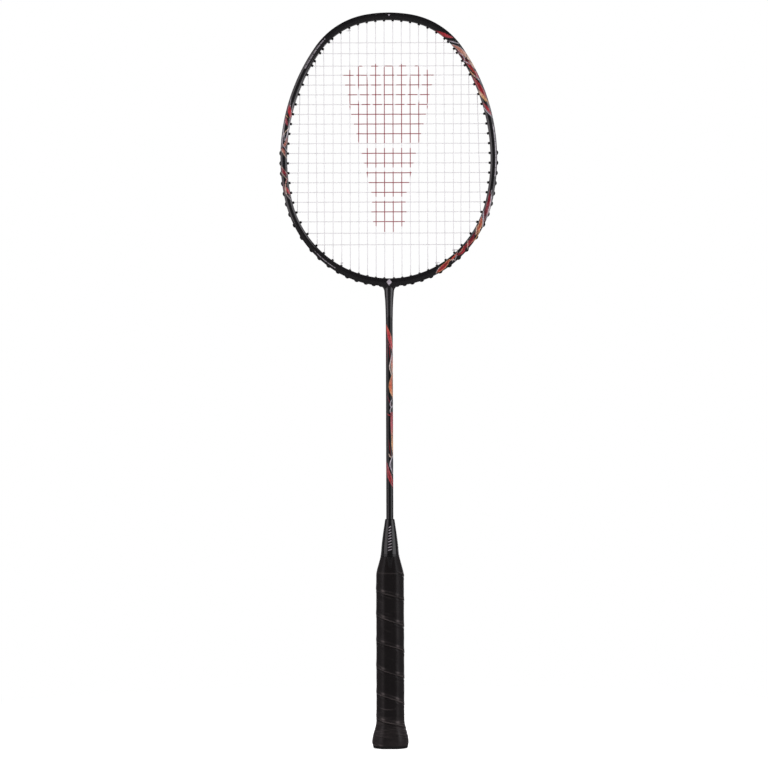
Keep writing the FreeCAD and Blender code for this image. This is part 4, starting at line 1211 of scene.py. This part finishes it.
def shuttlecock(x, z):
    """Cover of a plain shuttlecock silhouette, stencilled on the string bed: a skirt of feathers
    that opens upwards, two binding threads and a round cork."""
    foot, top = 506.0, 620.0
    foot_half, top_half = 15.0, 44.0
    feathers, slits_from = 7, 590.0
    threads, thread_half = (531.0, 553.0), 2.2
    cork_middle, cork_top, cork_half, cork_drop = 492.0, 502.0, 16.5, 19.0
    share = np.clip((z - foot) / (top - foot), 0, 1.3)
    half = foot_half + (top_half - foot_half) * share
    lane = (x / half + 1) / 2 * feathers
    inside_lane = np.abs(np.mod(lane, 1.0) - 0.5) * 2
    tip = top + 9.0 * (1 - inside_lane ** 2) - 7.0 * (x / top_half) ** 2
    skirt = (np.abs(x) < half) & (z > foot) & (z < tip)
    slit = (inside_lane > 0.8) & (z > slits_from)
    thread = (np.abs(z - threads[0]) < thread_half) | (np.abs(z - threads[1]) < thread_half)
    feathered = skirt & ~slit & ~thread
    above = z - cork_middle
    cork_low = ((x / cork_half) ** 2 + (above / cork_drop) ** 2 < 1) & (z < cork_middle)
    cork_high = (np.abs(x) < cork_half - 0.1 * above) & (z >= cork_middle) & (z < cork_top)
    return (feathered | cork_low | cork_high).astype(float)


def bare_radius(points):
    return np.full(len(points), STRING_RADIUS)


def stencilled_radius(points):
    """The string is drawn thicker where it is stencilled, so that the thin red lines read clearly."""
    return STRING_RADIUS + (INKED_RADIUS - STRING_RADIUS) * shuttlecock(points[:, 0], points[:, 2])


KNOT_OFFSET = 0.72
KNOT_START = 1.3
# Each knot's main, whether it is at the top, and the length of its trimmed end.
MAIN_TIES = [(5, False, 1.6), (18, False, 3.4)]
CROSS_TIES = [(6, True, 1.6), (16, False, 1.8)]


def knot_place(tie_main, at_top):
    """Where a knot sits on a main: its centre and the main's direction away from the hoop."""
    crossings = main_crossings(tie_main)
    mouth = inside_mouth(main_hole(tie_main, at_top), MAIN_LANE)
    direction = (crossings[-1] if at_top else crossings[0]) - mouth
    direction = direction / np.linalg.norm(direction)
    return mouth + direction * KNOT_START, direction


def tail(tie_main, at_top, end_hole, lane):
    """A loose end, from its knot out through the tied main's hole and along the groove."""
    hole = main_hole(tie_main, at_top)
    centre, direction = knot_place(tie_main, at_top)
    end = centre - direction * 0.4 - np.array([0, KNOT_OFFSET, 0])
    return [end, inside_mouth(hole, CROSS_LANE), outside_mouth(hole, CROSS_LANE)] + along_groove(
        hole[1], end_hole[1], lane)


def woven_string(name, first_tail, runs, last_tail, lane, node):
    path = list(first_tail)
    for index, (start_hole, crossings, end_hole) in enumerate(runs):
        path.append(outside_mouth(start_hole, lane))
        path += eased_run(inside_mouth(start_hole, lane), crossings, inside_mouth(end_hole, lane))
        path.append(outside_mouth(end_hole, lane))
        if index + 1 < len(runs):
            path += along_groove(end_hole[1], runs[index + 1][0][1], lane)
    path += last_tail[::-1]
    bend, sides = 0.7, 9
    points, faces, along, around = tube_mesh(rounded(path, bend), stencilled_radius, sides)
    inked = shuttlecock(points[:, 0], points[:, 2])
    paint = np.stack([np.ones(len(points)), inked * 0, inked * 0, inked], axis=-1)
    piece = make_piece(name, points, faces, NYLON, paint, {"along": along, "around": around})
    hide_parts(node)
    return piece


def main_string():
    runs = []
    for main in range(MAIN_COUNT):
        bottom = main_hole(main, False)
        top = main_hole(main, True)
        crossings = main_crossings(main)
        runs.append((bottom, crossings, top) if main % 2 == 0 else (top, crossings[::-1], bottom))
    first = tail(*MAIN_TIES[0][:2], runs[0][0], TAIL_LANE)
    last = tail(*MAIN_TIES[1][:2], runs[-1][2], TAIL_LANE)
    return woven_string("main_string_run", first, runs, last, MAIN_LANE, "main_string")


def cross_string():
    runs = []
    for cross in range(CROSS_COUNT):
        left = cross_hole(cross, -1)
        right = cross_hole(cross, 1)
        crossings = cross_crossings(cross)
        runs.append((left, crossings, right) if cross % 2 == 0 else (right, crossings[::-1], left))
    first = tail(*CROSS_TIES[0][:2], runs[0][0], -TAIL_LANE)
    last = tail(*CROSS_TIES[1][:2], runs[-1][2], -TAIL_LANE)
    return woven_string("cross_string_run", first, runs, last, CROSS_LANE, "cross_string")


def hitch(tie_main, at_top, trimmed_end):
    """A knot: the string wound twice round a main, back under itself, and its trimmed end."""
    centre, direction = knot_place(tie_main, at_top)
    front = np.array([0.0, -1.0, 0.0])
    front = front - (front @ direction) * direction
    front /= np.linalg.norm(front)
    side = np.cross(direction, front)
    turns = np.linspace(0, 4.3 * math.pi, 64)
    climb = 0.66 * turns / (2 * math.pi) - 0.35
    wound = [centre + direction * c + KNOT_OFFSET * (math.cos(t) * front + math.sin(t) * side)
             for t, c in zip(turns, climb)]
    leave = wound[-1] - wound[-2]
    leave /= np.linalg.norm(leave)
    over = wound[-1] + leave * 0.7 - direction * 0.5 + front * 0.2
    outwards = np.array([1.0 if centre[0] > 0 else -1.0, -0.25, 0.0])
    end = over - direction * 0.2 + outwards * trimmed_end
    return wound + list(chaikin([wound[-1], over, (over + end) / 2 + direction * 0.2, end], 3)[1:])


def knots(name, ties, node):
    points, faces, along, around = [], [], [], []
    start, sides = 0, 12
    for tie_main, at_top, trimmed_end in ties:
        made = tube_mesh(hitch(tie_main, at_top, trimmed_end), bare_radius, sides, start)
        points.append(made[0])
        faces += made[1]
        along.append(made[2])
        around.append(made[3])
        start += len(made[0])
    points = np.concatenate(points)
    piece = make_piece(name, points, faces, NYLON, np.zeros((len(points), 4)),
                       {"along": np.concatenate(along), "around": np.concatenate(around)})
    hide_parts(node)
    return piece


# ---- The rest of the CAD nodes -------------------------------------------------------------------

def dress(node, material):
    """The CAD node stays as it is and gets a material."""
    slots = NODES[node].data.materials
    slots.clear()
    slots.append(material)


# ---- Stage, lights and camera --------------------------------------------------------------------

def make_stage():
    half = 30.0
    mesh = bpy.data.meshes.new("floor")
    corners = [(-half, -half, 0), (half, -half, 0), (half, half, 0), (-half, half, 0)]
    mesh.from_pydata(corners, [], [(0, 1, 2, 3)])
    floor = bpy.data.objects.new("floor", mesh)
    bpy.context.scene.collection.objects.link(floor)
    shader = Shader("pale_floor", Specular_IOR_Level=0.0)
    spread = shader.noise(4.0, 2.0)
    shader.colour(shader.blend(spread, (0.86, 0.86, 0.86), (0.88, 0.88, 0.88)))
    shader.rough(0.9)
    shader.surface.inputs["Emission Color"].default_value = (1, 1, 1, 1)
    shader.surface.inputs["Emission Strength"].default_value = 0.72
    glow = shader.node("ShaderNodeEmission", Color=(1, 1, 1, 1), Strength=1.0)
    far = shader.node("ShaderNodeVectorMath", {"operation": "LENGTH"})
    shader.plug(far.inputs[0], shader.place)
    mix = shader.node("ShaderNodeMixShader")
    shader.plug(mix.inputs[0], shader.spread(far.outputs["Value"], 0.12, 0.6, 0.0, 1.0))
    shader.plug(mix.inputs[1], shader.surface.outputs[0])
    shader.plug(mix.inputs[2], glow.outputs[0])
    dim = shader.node("ShaderNodeEmission", Color=(1, 0.97, 1, 1), Strength=0.1)
    path = shader.node("ShaderNodeLightPath")
    seen = shader.node("ShaderNodeMixShader")
    shader.plug(seen.inputs[0], path.outputs["Is Glossy Ray"])
    shader.plug(seen.inputs[1], mix.outputs[0])
    shader.plug(seen.inputs[2], dim.outputs[0])
    shader.plug(shader.tree.nodes["Material Output"].inputs["Surface"], seen.outputs[0])
    mesh.materials.append(shader.material)


def make_world():
    """White to the camera, bright to matt surfaces, and dim in reflections, where it brightens
    behind the racket and below it."""
    world = bpy.data.worlds.new("studio")
    bpy.context.scene.world = world
    world.use_nodes = True
    tree = world.node_tree
    tree.nodes.clear()
    links = tree.links
    path = tree.nodes.new("ShaderNodeLightPath")
    place = tree.nodes.new("ShaderNodeTexCoord")
    split = tree.nodes.new("ShaderNodeSeparateXYZ")
    links.new(place.outputs["Generated"], split.inputs[0])

    def ramp(axis, *values):
        made = tree.nodes.new("ShaderNodeMapRange")
        links.new(split.outputs[axis], made.inputs["Value"])
        for key, value in zip(("From Min", "From Max", "To Min", "To Max"), values):
            made.inputs[key].default_value = value
        return made.outputs[0]

    def backdrop(colour, strength):
        made = tree.nodes.new("ShaderNodeBackground")
        made.inputs["Color"].default_value = (*colour, 1)
        if isinstance(strength, float):
            made.inputs["Strength"].default_value = strength
        else:
            links.new(strength, made.inputs["Strength"])
        return made.outputs[0]

    def choose(share, first, second):
        made = tree.nodes.new("ShaderNodeMixShader")
        links.new(share, made.inputs[0])
        links.new(first, made.inputs[1])
        links.new(second, made.inputs[2])
        return made.outputs[0]

    sum_of = tree.nodes.new("ShaderNodeMath")
    links.new(ramp("Y", 0.2, 1.0, 0.05, 0.3), sum_of.inputs[0])
    links.new(ramp("Z", -0.7, 0.1, 0.12, 0.0), sum_of.inputs[1])
    mirrored = backdrop((1.0, 0.97, 1.0), sum_of.outputs[0])
    matt = backdrop((1.0, 0.99, 1.0), ramp("Z", -0.5, 0.6, 0.95, 0.6))
    white = backdrop((1.0, 1.0, 1.0), 1.0)
    room = choose(path.outputs["Is Glossy Ray"], matt, mirrored)
    seen = choose(path.outputs["Is Camera Ray"], room, white)
    output = tree.nodes.new("ShaderNodeOutputWorld")
    links.new(seen, output.inputs[0])


LIT_POINT = (0, 0, 0.36)


def softbox(name, direction, distance, height, width, tall, radiance, colour=(1.0, 0.96, 1.0)):
    """A panel light facing the racket. Direction is in degrees from the camera's side, to the
    right."""
    data = bpy.data.lights.new(name, "AREA")
    data.shape = "RECTANGLE"
    data.size = width
    data.size_y = tall
    data.energy = radiance * width * tall * math.pi
    data.color = colour
    light = bpy.data.objects.new(name, data)
    angle = math.radians(direction)
    light.location = (distance * math.sin(angle), -distance * math.cos(angle), height)
    aim = Vector(LIT_POINT) - light.location
    light.rotation_mode = "QUATERNION"
    light.rotation_quaternion = aim.to_track_quat("-Z", "Y")
    bpy.context.scene.collection.objects.link(light)


def make_camera():
    data = bpy.data.cameras.new("camera")
    lens, sensor, view_height = 150, 36, 0.7056
    data.lens = lens
    data.sensor_width = sensor
    data.clip_end = 200
    data.dof.use_dof = False
    camera = bpy.data.objects.new("camera", data)
    distance = view_height * lens / sensor
    aim_x, aim_z, lean = -0.00502, 0.3340, 0.17
    camera.location = (aim_x, -distance, aim_z)
    camera.rotation_euler = (math.radians(90), math.radians(lean), 0)
    bpy.context.scene.collection.objects.link(camera)
    bpy.context.scene.camera = camera


# ---- Building ------------------------------------------------------------------------------------

head_frame()
shaft()
shaft_cone()
grip_wrap()
finishing_tape()
butt_cap()
main_string()
cross_string()
knots("main_string_hitches", MAIN_TIES, "main_string_knots")
knots("cross_string_hitches", CROSS_TIES, "cross_string_knots")
for node_name in NODES:
    if node_name.startswith("grommet_strip"):
        dress(node_name, GROMMET)
dress("t_joint", ALUMINIUM)
dress("handle_core", WOOD)
dress("shaft_end_plug", RUBBER)
dress("balance_plug", RUBBER)
dress("grip_staples", STEEL_WIRE)

make_stage()
make_world()
softbox("softbox_right", 60, 1.8, 0.6, 1.6, 2.1, radiance=1.15, colour=(0.97, 0.96, 1.0))
softbox("softbox_left", -60, 1.8, 0.6, 1.6, 2.1, radiance=0.9, colour=(1.0, 0.93, 0.97))
softbox("softbox_back", 158, 2.2, 0.7, 0.7, 1.2, radiance=1.6)
make_camera()
bpy.context.scene.view_settings.view_transform = "Standard"
